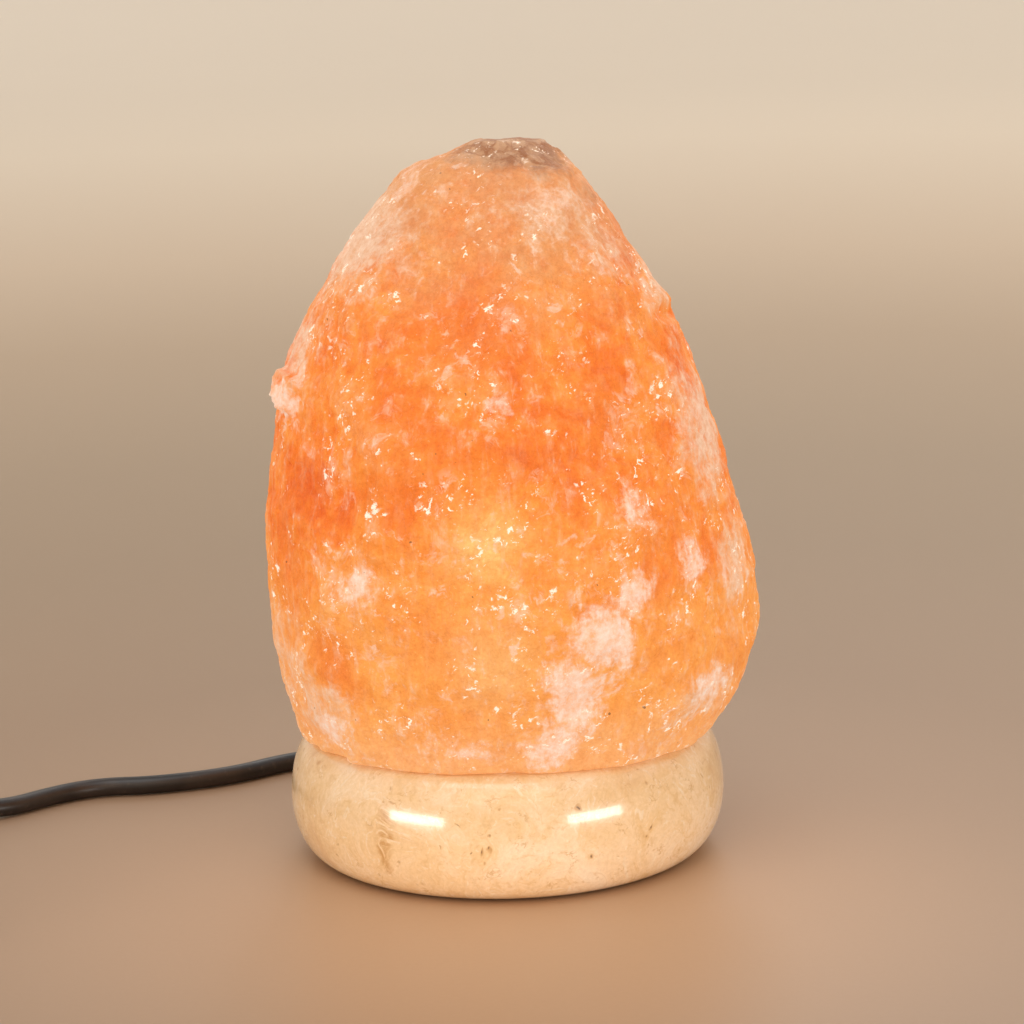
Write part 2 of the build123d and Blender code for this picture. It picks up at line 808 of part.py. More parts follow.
pin_lines = (plug_line - pin_spacing / 2, plug_line + pin_spacing / 2)
pin_root = plug_face - plug_length / 3
pin_tip = plug_face + pin_length
sleeve_end = plug_face + pin_sleeve_length
with BuildPart() as plug_pins:
    for pin_line in pin_lines:
        with BuildSketch(Plane.XZ.offset(-pin_line)):
            with BuildLine():
                Polyline(
                    (pin_root, plug_height),
                    (pin_root, plug_height + pin_core_radius),
                    (sleeve_end + seat_gap, plug_height + pin_core_radius),
                    (sleeve_end + seat_gap, plug_height + pin_radius),
                    (pin_tip - pin_radius, plug_height + pin_radius),
                )
                CenterArc((pin_tip - pin_radius, plug_height), pin_radius, 0, 90)
                Line((pin_tip, plug_height), (pin_root, plug_height))
            make_face()
        revolve(axis=Axis((pin_root, pin_line, plug_height), (1, 0, 0)))

with BuildPart() as pin_sleeves:
    with BuildSketch(Plane.YZ.offset(plug_face)):
        with Locations((pin_lines[0], plug_height), (pin_lines[1], plug_height)):
            Circle(pin_radius)
            Circle(pin_core_radius + seat_gap, mode=Mode.SUBTRACT)
    extrude(amount=pin_sleeve_length)

# ---------------------------------------------------------------- in-line switch
cord_hole_radius = cord_radius + seat_gap
cavity_length = switch_length - 2 * switch_wall
cavity_width = switch_width - 2 * switch_wall
screw_post = Vector(switch_length / 2 - 7.0, switch_width / 2 - 4.4)
screw_posts = (
    (switch_centre + screw_post.X, switch_line + screw_post.Y),
    (switch_centre - screw_post.X, switch_line - screw_post.Y),
)
post_radius = 2.6
case_screw_radius = 1.1
terminal_reach = screw_post.X - post_radius - 4.4

with BuildPart() as switch_lower:
    with BuildSketch():
        with Locations((switch_centre, switch_line)):
            RectangleRounded(switch_length, switch_width, switch_corner)
    extrude(amount=switch_parting)
    fillet(faces().sort_by(Axis.Z)[0].edges(), 2.0)
    with BuildSketch(Plane.XY.offset(switch_wall)):
        with Locations((switch_centre, switch_line)):
            RectangleRounded(cavity_length, cavity_width, switch_corner - switch_wall)
        with Locations(*screw_posts):
            Circle(post_radius, mode=Mode.SUBTRACT)
    extrude(amount=switch_parting - switch_wall, mode=Mode.SUBTRACT)
    with BuildSketch(Plane.YZ.offset(switch_left)):
        with Locations((switch_line, switch_cord_height)):
            Circle(cord_hole_radius)
    extrude(amount=switch_length, mode=Mode.SUBTRACT)
    with Locations((*screw_posts[0], 0), (*screw_posts[1], 0)):
        with Locations(Rotation(180, 0, 0)):
            CounterBoreHole(case_screw_radius + seat_gap, 2.3, 1.6)

window_half_length = rocker_radius + rocker_gap
window_half_width = rocker_half_width + rocker_gap
ear_thickness = 1.8
with BuildPart() as switch_upper:
    with BuildSketch(Plane.XY.offset(switch_parting)):
        with Locations((switch_centre, switch_line)):
            RectangleRounded(switch_length, switch_width, switch_corner)
    extrude(amount=switch_height - switch_parting)
    fillet(faces().sort_by(Axis.Z)[-1].edges(), 2.0)
    with BuildSketch(Plane.XY.offset(switch_parting)):
        with Locations((switch_centre, switch_line)):
            RectangleRounded(cavity_length, cavity_width, switch_corner - switch_wall)
        with Locations(*screw_posts):
            Circle(post_radius, mode=Mode.SUBTRACT)
    extrude(amount=switch_height - switch_wall - switch_parting, mode=Mode.SUBTRACT)
    with BuildSketch(Plane.XY.offset(switch_height)):
        with Locations((switch_centre, switch_line)):
            Rectangle(2 * window_half_length, 2 * window_half_width)
    extrude(amount=-switch_wall, mode=Mode.SUBTRACT)
    # the two ears that carry the rocker's pivots
    with BuildSketch(Plane.XY.offset(rocker_pivot_height - 2.6)):
        for side in (-1, 1):
            with Locations(
                (switch_centre, switch_line + side * (window_half_width + ear_thickness / 2))
            ):
                Rectangle(6.0, ear_thickness)
    extrude(amount=switch_height - switch_wall - rocker_pivot_height + 2.6)
    with BuildSketch(Plane.XZ.offset(-switch_line)):
        with Locations((switch_centre, rocker_pivot_height)):
            Circle(pivot_radius + seat_gap)
    extrude(amount=window_half_width + ear_thickness, both=True, mode=Mode.SUBTRACT)
    with BuildSketch(Plane.YZ.offset(switch_left)):
        with Locations((switch_line, switch_cord_height)):
            Circle(cord_hole_radius)
    extrude(amount=switch_length, mode=Mode.SUBTRACT)
    with BuildSketch(Plane.XY.offset(switch_parting)):
        with Locations(*screw_posts):
            Circle(case_screw_radius + seat_gap / 2)
    extrude(amount=5.0, mode=Mode.SUBTRACT)


def rocker_point(radius, angle):
    """A point of the rocker's outline, from its pivot, with the rocker tipped as it rests."""
    turned = math.radians(angle + rocker_tilt)
    return (
        switch_centre + radius * math.cos(turned),
        rocker_pivot_height + radius * math.sin(turned),
    )


with BuildPart() as rocker:
    with BuildSketch(Plane.XZ.offset(-switch_line)):
        with BuildLine():
            right_end = ThreePointArc(
                rocker_point(rocker_radius, -8),
                rocker_point(rocker_radius, 8),
                rocker_point(rocker_radius, 24),
            )
            left_end = ThreePointArc(
                rocker_point(rocker_radius, 156),
                rocker_point(rocker_radius, 172),
                rocker_point(rocker_radius, 188),
            )
            Polyline(right_end @ 1, rocker_point(2.9, 90), left_end @ 0)
            Polyline(
                left_end @ 1, rocker_point(3.4, 224), rocker_point(3.4, 316), right_end @ 0
            )
        make_face()
    extrude(amount=rocker_half_width, both=True)
    with BuildSketch(Plane.XZ.offset(-switch_line)):
        with Locations((switch_centre, rocker_pivot_height)):
            Circle(pivot_radius)
    extrude(amount=window_half_width + ear_thickness - 0.3, both=True)

with BuildPart() as moving_contact:
    with BuildSketch(Plane.XZ.offset(-switch_line)):
        with BuildLine():
            Polyline(
                rocker_point(3.9, 318),
                rocker_point(8.6, 349),
                rocker_point(8.75, 345.5),
                rocker_point(4.25, 312),
                close=True,
            )
        make_face()
    extrude(amount=2.2, both=True)

with BuildPart() as switch_terminals:
    with BuildSketch(Plane.XY.offset(switch_wall)):
        with Locations(
            (switch_centre - terminal_reach, switch_line + 5.0),
            (switch_centre + terminal_reach, switch_line + 5.0),
        ):
            RectangleRounded(8.0, 5.0, 1.0)
    extrude(amount=5.0)

with BuildPart() as switch_screws:
    with BuildSketch(Plane.XY.offset(1.5)):
        with Locations(*screw_posts):
            Circle(2.1)
    extrude(amount=-1.2)
    with BuildSketch(Plane.XY.offset(1.5)):
        with Locations(*screw_posts):
            Circle(case_screw_radius)
    extrude(amount=10.0)

with BuildPart() as switch_boots:
    for face_x, outward in ((switch_right, 1), (switch_left, -1)):
        with BuildSketch(Plane.XZ.offset(-switch_line)):
            with BuildLine():
                Polyline(
                    (face_x, switch_cord_height + cord_hole_radius),
                    (face_x, switch_cord_height + boot_radius),
                    (face_x + outward * boot_length, switch_cord_height + boot_tip_radius),
                    (face_x + outward * boot_length, switch_cord_height + cord_hole_radius),
                    close=True,
                )
            make_face()
        revolve(axis=Axis((face_x, switch_line, switch_cord_height), (1, 0, 0)))

# ---------------------------------------------------------------- export
finished = {
    "salt_crystal": salt_crystal,
    "marble_base": marble_base,
    "felt_ring": felt_ring,
    "screw_washers": screw_washers,
    "base_screws": base_screws,
    "wall_plugs": wall_plugs,
    "holder_cap": holder_cap,
    "grip_screw": grip_screw,
    "holder_sleeve": holder_sleeve,
    "holder_core": holder_core,
    "holder_terminals": holder_terminals,
    "terminal_screws": terminal_screws,
    "thread_shell": thread_shell,
    "centre_contact": centre_contact,
    "side_contact": side_contact,
    "spring_clip": spring_clip,
    "contact_solder": contact_solder,
    "cap_insulator": cap_insulator,
    "bulb_cap": bulb_cap,
    "bulb_glass": bulb_glass,
    "glass_stem": glass_stem,
    "lead_wires": lead_wires,
    "filament": filament,
    "cord_in_base": cord_in_base,
    "core_brown": core_brown,
    "core_blue": core_blue,
    "cord_lead": cord_lead,
    "cord_link": cord_link,
    "cord_coil": cord_coil,
    "coil_tie": coil_tie,
    "cord_tail": cord_tail,
    "plug_relief": plug_relief,
    "plug_body": plug_body,
    "plug_pins": plug_pins,
    "pin_sleeves": pin_sleeves,
    "switch_lower": switch_lower,
    "switch_upper": switch_upper,
    "rocker": rocker,
    "moving_contact": moving_contact,
    "switch_terminals": switch_terminals,
    "switch_screws": switch_screws,
    "switch_boots": switch_boots,
}
for name, piece in finished.items():
    piece.part.label = name
    export_step(piece.part, f"parts/{name}.step")
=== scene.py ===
"""The looks of a salt crystal lamp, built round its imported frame.

Metres, +Z up, the front towards -Y, the origin on the base's axis at the table. The crystal, the
base, the felt, the cords and the coil's strap are new pieces. The others are the frame's own, with
a finish each.
"""

import json
import logging
import math
from dataclasses import dataclass
from enum import Enum

import bmesh
import bpy
from mathutils import Matrix, Vector, noise


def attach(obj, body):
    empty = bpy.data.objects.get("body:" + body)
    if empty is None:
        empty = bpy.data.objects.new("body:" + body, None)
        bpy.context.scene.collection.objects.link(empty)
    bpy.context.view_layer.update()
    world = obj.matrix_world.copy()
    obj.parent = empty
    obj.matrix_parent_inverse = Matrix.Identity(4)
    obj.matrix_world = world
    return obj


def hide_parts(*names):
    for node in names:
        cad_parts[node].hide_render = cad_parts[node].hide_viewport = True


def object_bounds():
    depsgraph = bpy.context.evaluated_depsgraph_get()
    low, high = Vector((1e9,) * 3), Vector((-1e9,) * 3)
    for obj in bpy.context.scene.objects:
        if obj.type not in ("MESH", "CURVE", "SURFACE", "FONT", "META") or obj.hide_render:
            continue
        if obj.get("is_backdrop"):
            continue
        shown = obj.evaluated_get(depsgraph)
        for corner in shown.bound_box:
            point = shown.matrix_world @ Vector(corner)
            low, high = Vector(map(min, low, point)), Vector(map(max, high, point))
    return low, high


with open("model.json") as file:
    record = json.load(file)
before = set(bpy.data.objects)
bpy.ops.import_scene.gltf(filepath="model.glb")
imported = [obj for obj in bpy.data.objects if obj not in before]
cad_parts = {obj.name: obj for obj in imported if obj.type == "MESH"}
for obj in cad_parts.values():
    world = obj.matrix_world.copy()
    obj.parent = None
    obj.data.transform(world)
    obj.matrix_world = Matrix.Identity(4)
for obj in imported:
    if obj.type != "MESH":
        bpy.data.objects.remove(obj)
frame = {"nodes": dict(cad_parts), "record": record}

MM = 0.001
LAMP = "lamp"
EDGE = "edge"
log = logging.getLogger("salt_lamp")


# ---------------------------------------------------------------- colours
def linear(red: float, green: float, blue: float) -> tuple[float, float, float, float]:
    """A colour from 0 to 255, as a screen shows it, in the shader's own linear scale.

    Args:
        red: the red part.
        green: the green part.
        blue: the blue part.

    Returns:
        The linear colour with an alpha of 1.
    """
    parts = []
    for part in (red, green, blue):
        share = part / 255
        parts.append(share / 12.92 if share <= 0.04045 else ((share + 0.055) / 1.055) ** 2.4)
    return (*parts, 1.0)


# ---------------------------------------------------------------- shader expressions
class Term:
    """One output of a node, whose arithmetic adds Math nodes to its material."""

    def __init__(self, graph: "Graph", socket: bpy.types.NodeSocket) -> None:
        """Wraps a socket of a graph."""
        self.graph = graph
        self.socket = socket

    def __add__(self, other: "Term | float") -> "Term":
        """The sum."""
        return self.graph.math("ADD", self, other)

    __radd__ = __add__

    def __sub__(self, other: "Term | float") -> "Term":
        """The difference."""
        return self.graph.math("SUBTRACT", self, other)

    def __rsub__(self, other: "Term | float") -> "Term":
        """The difference from a number."""
        return self.graph.math("SUBTRACT", other, self)

    def __mul__(self, other: "Term | float") -> "Term":
        """The product."""
        return self.graph.math("MULTIPLY", self, other)

    __rmul__ = __mul__

    def __truediv__(self, other: "Term | float") -> "Term":
        """The quotient."""
        return self.graph.math("DIVIDE", self, other)

    def over(self, other: "Term | float") -> "Term":
        """The larger of the two, which is the union of two masks."""
        return self.graph.math("MAXIMUM", self, other)


class Graph:
    """The nodes of one material, with one method that adds a node of any type."""

    def __init__(self, name: str, tree: bpy.types.NodeTree | None = None) -> None:
        """Starts an empty material, or works in the tree it is given."""
        self.material = None
        if tree is None:
            self.material = bpy.data.materials.new(name)
            self.material.use_nodes = True
            tree = self.material.node_tree
        self.tree = tree
        self.tree.nodes.clear()

    def add(self, kind: str, settings: dict | None = None, inputs: dict | None = None,
            output: int | str = 0) -> Term:
        """Adds one node.

        Args:
            kind: the node's type, without its prefix.
            settings: its properties, set first; "stops" are a ramp's places and colours.
            inputs: a value or a term for each socket, by name or number.
            output: the output to return, by name or number.

        Returns:
            The output as a term.
        """
        node = self.tree.nodes.new("ShaderNode" + kind)
        for key, value in (settings or {}).items():
            if key == "stops":
                ramp = node.color_ramp
                for place, colour in value[2:]:
                    ramp.elements.new(place).color = colour
                for element, (place, colour) in zip(
                    ramp.elements, sorted(value, key=lambda stop: stop[0])
                ):
                    element.position = place
                    element.color = colour
            else:
                setattr(node, key, value)
        for key, value in (inputs or {}).items():
            if isinstance(value, Term):
                self.tree.links.new(value.socket, node.inputs[key])
            else:
                node.inputs[key].default_value = value
        return Term(self, node.outputs[output])

    def math(self, operation: str, first: "Term | float", second: "Term | float") -> Term:
        """One Math node of two values."""
        return self.add("Math", {"operation": operation}, {0: first, 1: second})

    def place(self) -> Term:
        """The point on the piece in millimetres, in the lamp's own frame."""
        point = self.add("TexCoord", output="Object")
        return self.add("VectorMath", {"operation": "SCALE"}, {0: point, "Scale": 1 / MM})

    def stretch(self, point: Term, factors: tuple[float, float, float]) -> Term:
        """The point with each of its parts multiplied."""
        return self.add("VectorMath", {"operation": "MULTIPLY"}, {0: point, 1: factors})

    def height(self, point: Term) -> Term:
        """The point's height in millimetres."""
        return self.add("SeparateXYZ", {}, {0: point}, "Z")

    def noise(self, point: Term, size: float, detail: float = 3.0, rough: float = 0.5,
              output: str = "Fac", twist: float = 0.0) -> Term:
        """Noise over a point.

        Args:
            point: the point.
            size: how far apart its grains are, in millimetres.
            detail: how many finer layers it has.
            rough: how strong these are.
            output: Fac for a value or Color for a vector.
            twist: how far it swirls.

        Returns:
            The noise, about 0.5.
        """
        return self.add(
            "TexNoise", {}, {"Vector": point, "Scale": 1 / size, "Detail": detail,
                             "Roughness": rough, "Distortion": twist}, output,
        )

    def step(self, value: Term, low: float, high: float) -> Term:
        """A soft step from 0 at low to 1 at high, or down where high is the smaller.

        Args:
            value: the value.
            low: where the step is 0.
            high: where it is 1.

        Returns:
            The step.
        """
        flip = high < low
        return self.add(
            "MapRange", {"interpolation_type": "SMOOTHSTEP"},
            {"Value": value, "From Min": min(low, high), "From Max": max(low, high),
             "To Min": 1.0 if flip else 0.0, "To Max": 0.0 if flip else 1.0},
        )

    def spots(self, point: Term, size: float, detail: float, rough: float, low: float,
              high: float) -> Term:
        """A mask of the places where a noise lies past a soft step."""
        return self.step(self.noise(point, size, detail, rough), low, high)

    def blend(self, share: "Term | float", first: "Term | tuple", second: "Term | tuple",
              how: str = "MIX") -> Term:
        """A mix of two colours."""
        return self.add(
            "Mix", {"data_type": "RGBA", "blend_type": how}, {0: share, 6: first, 7: second}, 2
        )

    def ramp(self, value: Term, *stops: tuple) -> Term:
        """A colour ramp over a value."""
        return self.add("ValToRGB", {"stops": stops}, {0: value})

    def shift(self, point: Term, size: float, reach: float) -> Term:
        """The point moved about by noise.

        Args:
            point: the point.
            size: how far apart the noise's grains are, in millimetres.
            reach: twice the furthest that a point moves each way, in millimetres.

        Returns:
            The moved point.
        """
        drift = self.noise(point, size, 2.0, 0.5, "Color")
        centred = self.add("VectorMath", {"operation": "SUBTRACT"}, {0: drift, 1: (0.5, 0.5, 0.5)})
        scaled = self.add("VectorMath", {"operation": "SCALE"}, {0: centred, "Scale": reach})
        return self.add("VectorMath", {"operation": "ADD"}, {0: point, 1: scaled})

    def blob(self, point: Term, centre: tuple, radii: tuple, soft: float) -> Term:
        """A mask that is 1 inside an ellipsoid and falls to 0 at its surface.

        Args:
            point: the point.
            centre: the ellipsoid's centre.
            radii: its three radii.
            soft: the share of its radius over which the mask falls.

        Returns:
            The mask.
        """
        away = self.add("VectorMath", {"operation": "SUBTRACT"}, {0: point, 1: centre})
        scaled = self.add("VectorMath", {"operation": "DIVIDE"}, {0: away, 1: radii})
        length = self.add("VectorMath", {"operation": "LENGTH"}, {0: scaled}, "Value")
        return self.step(length, 1.0, 1.0 - soft)

    def bump(self, height: Term, depth: float, strength: float = 1.0,
             under: Term | None = None) -> Term:
        """A bump.

        Args:
            height: the height from 0 to 1.
            depth: what a height of 1 stands for, in metres.
            strength: how much of it shows.
            under: the bump that this one lies on.

        Returns:
            The normal.
        """
        inputs = {"Height": height, "Distance": depth, "Strength": strength}
        if under is not None:
            inputs["Normal"] = under
        return self.add("Bump", {}, inputs)

    def surface(self, inputs: dict) -> None:
        """The principled shader with these inputs, wired to the output."""
        self.add_output(self.add("BsdfPrincipled", {}, inputs), "Material")

    def add_output(self, shader: Term, kind: str) -> None:
        """Wires a shader to the output of a material or a world."""
        out = self.tree.nodes.new("ShaderNodeOutput" + kind)
        self.tree.links.new(shader.socket, out.inputs["Surface"])


# ---------------------------------------------------------------- plain finishes
@dataclass(frozen=True)
class Finish:
    """A finish of one name, made into a material."""

    name: str

    def material(self) -> bpy.types.Material:
        """The finish as a material."""
        graph = Graph(self.name)
        self.wire(graph)
        return graph.material

    def wire(self, graph: Graph) -> None:
        """Adds the finish's nodes.

        Args:
            graph: the material's nodes.
        """
        raise NotImplementedError


@dataclass(frozen=True)
class Moulded(Finish):
    """Plastic, rubber, porcelain or nylon with a fine grain."""

    colour: tuple[float, float, float]
    roughness: float = 0.45
    grain: float = 0.5
    depth: float = 0.00003
    wear: float = 0.12
    coat: float = 0.0

    def wire(self, graph: Graph) -> None:
        """Adds the finish's nodes.

        Args:
            graph: the material's nodes.
        """
        point = graph.place()
        fine = graph.noise(point, self.grain, 4.0, 0.6)
        broad = graph.noise(point, 9.0, 3.0, 0.55)
        base = linear(*self.colour)
        worn = tuple(min(1.0, part * (1 + self.wear) + self.wear * 0.04) for part in base[:3])
        colour = graph.blend(graph.step(broad, 0.35, 0.7), base, (*worn, 1.0))
        graph.surface({
            "Base Color": colour,
            "Roughness": self.roughness + (fine - 0.5) * 0.16 + (broad - 0.5) * 0.2,
            "Coat Weight": self.coat,
            "Coat Roughness": 0.08,
            "Normal": graph.bump(fine, self.depth),
        })


@dataclass(frozen=True)
class Metal(Finish):
    """A plated or bare metal with faint draw marks and dull patches."""

    colour: tuple[float, float, float]
    roughness: float = 0.3
    tarnish: float = 0.2

    def wire(self, graph: Graph) -> None:
        """Adds the finish's nodes.

        Args:
            graph: the material's nodes.
        """
        point = graph.place()
        drawn = graph.stretch(point, (1.0, 1.0, 6.0))
        marks = graph.noise(drawn, 0.4, 3.0, 0.6)
        patches = graph.noise(point, 4.0, 4.0, 0.6)
        base = linear(*self.colour)
        dull = tuple(part * (1 - self.tarnish) for part in base[:3])
        graph.surface({
            "Base Color": graph.blend(graph.step(patches, 0.4, 0.68), base, (*dull, 1.0)),
            "Metallic": 1.0,
            "Roughness": self.roughness + (patches - 0.5) * 0.3,
            "Normal": graph.bump(marks, 0.00002),
        })


@dataclass(frozen=True)
class Glass(Finish):
    """Clear blown glass with faint ripples."""

    colour: tuple[float, float, float]
    roughness: float = 0.03

    def wire(self, graph: Graph) -> None:
        """Adds the finish's nodes.

        Args:
            graph: the material's nodes.
        """
        point = graph.place()
        ripple = graph.noise(point, 6.0, 2.0, 0.4)
        graph.surface({
            "Base Color": linear(*self.colour),
            "Transmission Weight": 1.0,
            "IOR": 1.5,
            "Roughness": self.roughness + (ripple - 0.5) * 0.04,
            "Normal": graph.bump(ripple, 0.00005),
        })


@dataclass(frozen=True)
class HotWire(Finish):
    """The glowing filament."""

    def wire(self, graph: Graph) -> None:
        """Adds the finish's nodes.

        Args:
            graph: the material's nodes.
        """
        point = graph.place()
        heat = graph.noise(point, 1.5, 2.0, 0.5)
        graph.surface({
            "Base Color": linear(120, 100, 80),
            "Roughness": 0.5,
            "Emission Color": graph.blend(heat, linear(255, 150, 60), linear(255, 225, 160)),
            "Emission Strength": 6.0,
        })


@dataclass(frozen=True)
class Pressed(Finish):
    """Pressed felt or the woven fabric of a hook-and-loop strip."""

    colour: tuple[float, float, float]
    fibre: float = 0.35

    def wire(self, graph: Graph) -> None:
        """Adds the finish's nodes.

        Args:
            graph: the material's nodes.
        """
        point = graph.place()
        lint = graph.noise(point, self.fibre, 6.0, 0.7, twist=1.2)
        broad = graph.noise(point, 5.0, 3.0, 0.5)
        base = linear(*self.colour)
        light = tuple(min(1.0, part * 1.9 + 0.01) for part in base[:3])
        graph.surface({
            "Base Color": graph.blend(lint * 0.6 + broad * 0.4, base, (*light, 1.0)),
            "Roughness": 0.9,
            "Sheen Weight": 0.4,
            "Sheen Roughness": 0.5,
            "Normal": graph.bump(lint, 0.0002),
        })


@dataclass(frozen=True)
class Sheath(Finish):
    """The cord's satin black sheath, with warmer brown patches and rub marks."""

    def wire(self, graph: Graph) -> None:
        """Adds the finish's nodes.

        Args:
            graph: the material's nodes.
        """
        point = graph.place()
        grain = graph.noise(point, 0.45, 4.0, 0.6)
        warm_patches = graph.noise(point, 14.0, 4.0, 0.6)
        rubbed = graph.spots(point, 3.0, 5.0, 0.65, 0.56, 0.72)
        black = graph.blend(graph.step(warm_patches, 0.35, 0.65), linear(26, 21, 19), linear(44, 35, 30))
        graph.surface({
            "Base Color": graph.blend(rubbed * 0.5, black, linear(78, 64, 54)),
            "Roughness": 0.36 + (grain - 0.5) * 0.12 + rubbed * 0.14,
            "Normal": graph.bump(grain, 0.00003),
        })


# ---------------------------------------------------------------- the rock salt
class Tone(Enum):
    """The kinds of patch in the salt."""

    CREAM = "cream"
    FROST_AND_FALLOFF = "frost_and_falloff"
    DEEP = "deep"
    CRUST = "crust"


@dataclass(frozen=True)
class Patch:
    """A patch of another tone: its centre and radii in millimetres, and how much of it shows."""

    centre: tuple[float, float, float]
    radii: tuple[float, float, float]
    share: float = 1.0


PATCHES = {
    Tone.CREAM: (
        Patch((26, -60, 74), (12, 12, 12)),
        Patch((20, -59, 58), (12, 12, 14)),
        Patch((14, -57, 44), (12, 12, 9), 0.9),
        Patch((35, -55, 84), (7, 10, 8)),
        Patch((-47, -36, 43), (8, 9, 8)),
        Patch((-1, -53, 134), (5, 8, 5), 0.9),
        Patch((50, -42, 89), (5, 9, 10), 0.9),
        Patch((-37, -52, 87), (8, 9, 8), 0.7),
        Patch((34, -52, 106), (5, 9, 12), 0.6),
        Patch((-12, -58, 44), (14, 12, 7), 0.5),
        Patch((54, -38, 52), (9, 10, 9), 0.8),
        Patch((-57, -15, 131), (8, 12, 8)),
        Patch((58, 30, 70), (14, 16, 12)),
        Patch((-20, 55, 110), (17, 12, 12)),
        Patch((-55, 26, 62), (10, 14, 14), 0.9),
        Patch((30, 52, 52), (14, 12, 9), 0.8),
    ),
    # frosty slopes, where the glow is painted fainter
    Tone.FROST_AND_FALLOFF: (
        Patch((-35, -10, 172), (18, 26, 22), 0.9),
        Patch((-53, -10, 145), (13, 20, 20), 0.6),
        Patch((17, -20, 181), (22, 16, 12), 0.45),
        Patch((56, -22, 122), (13, 22, 24), 0.85),
        Patch((62, -24, 84), (8, 20, 16), 0.6),
        Patch((45, -8, 162), (10, 24, 14), 0.7),
        Patch((30, -22, 172), (9, 14, 10), 0.5),
        Patch((-60, -20, 60), (12, 26, 20), 0.5),
        Patch((-50, -36, 48), (12, 16, 12), 0.7),
        Patch((52, -40, 50), (13, 18, 11), 0.7),
        Patch((10, 50, 160), (30, 26, 22), 0.6),
    ),
    Tone.DEEP: (
        Patch((-58, -27, 92), (9, 12, 24), 0.6),
        Patch((-6, -44, 152), (20, 16, 16)),
        Patch((-24, -54, 112), (16, 14, 12), 0.7),
        Patch((29, -46, 130), (10, 12, 12), 0.8),
        Patch((-46, -45, 66), (11, 10, 13), 0.8),
        Patch((-27, -50, 130), (15, 12, 13), 0.6),
        Patch((50, -14, 142), (5, 9, 9)),
        Patch((40, -46, 100), (8, 10, 8), 0.6),
        Patch((63, 10, 96), (8, 14, 16), 0.6),
        Patch((10, 56, 88), (16, 10, 13), 0.8),
        Patch((-43, 6, 165), (6, 14, 18), 0.8),
    ),
    Tone.CRUST: (
        Patch((7, -6, 197), (25, 20, 11)),
        Patch((26, -10, 184), (8, 12, 8), 0.5),
    ),
}


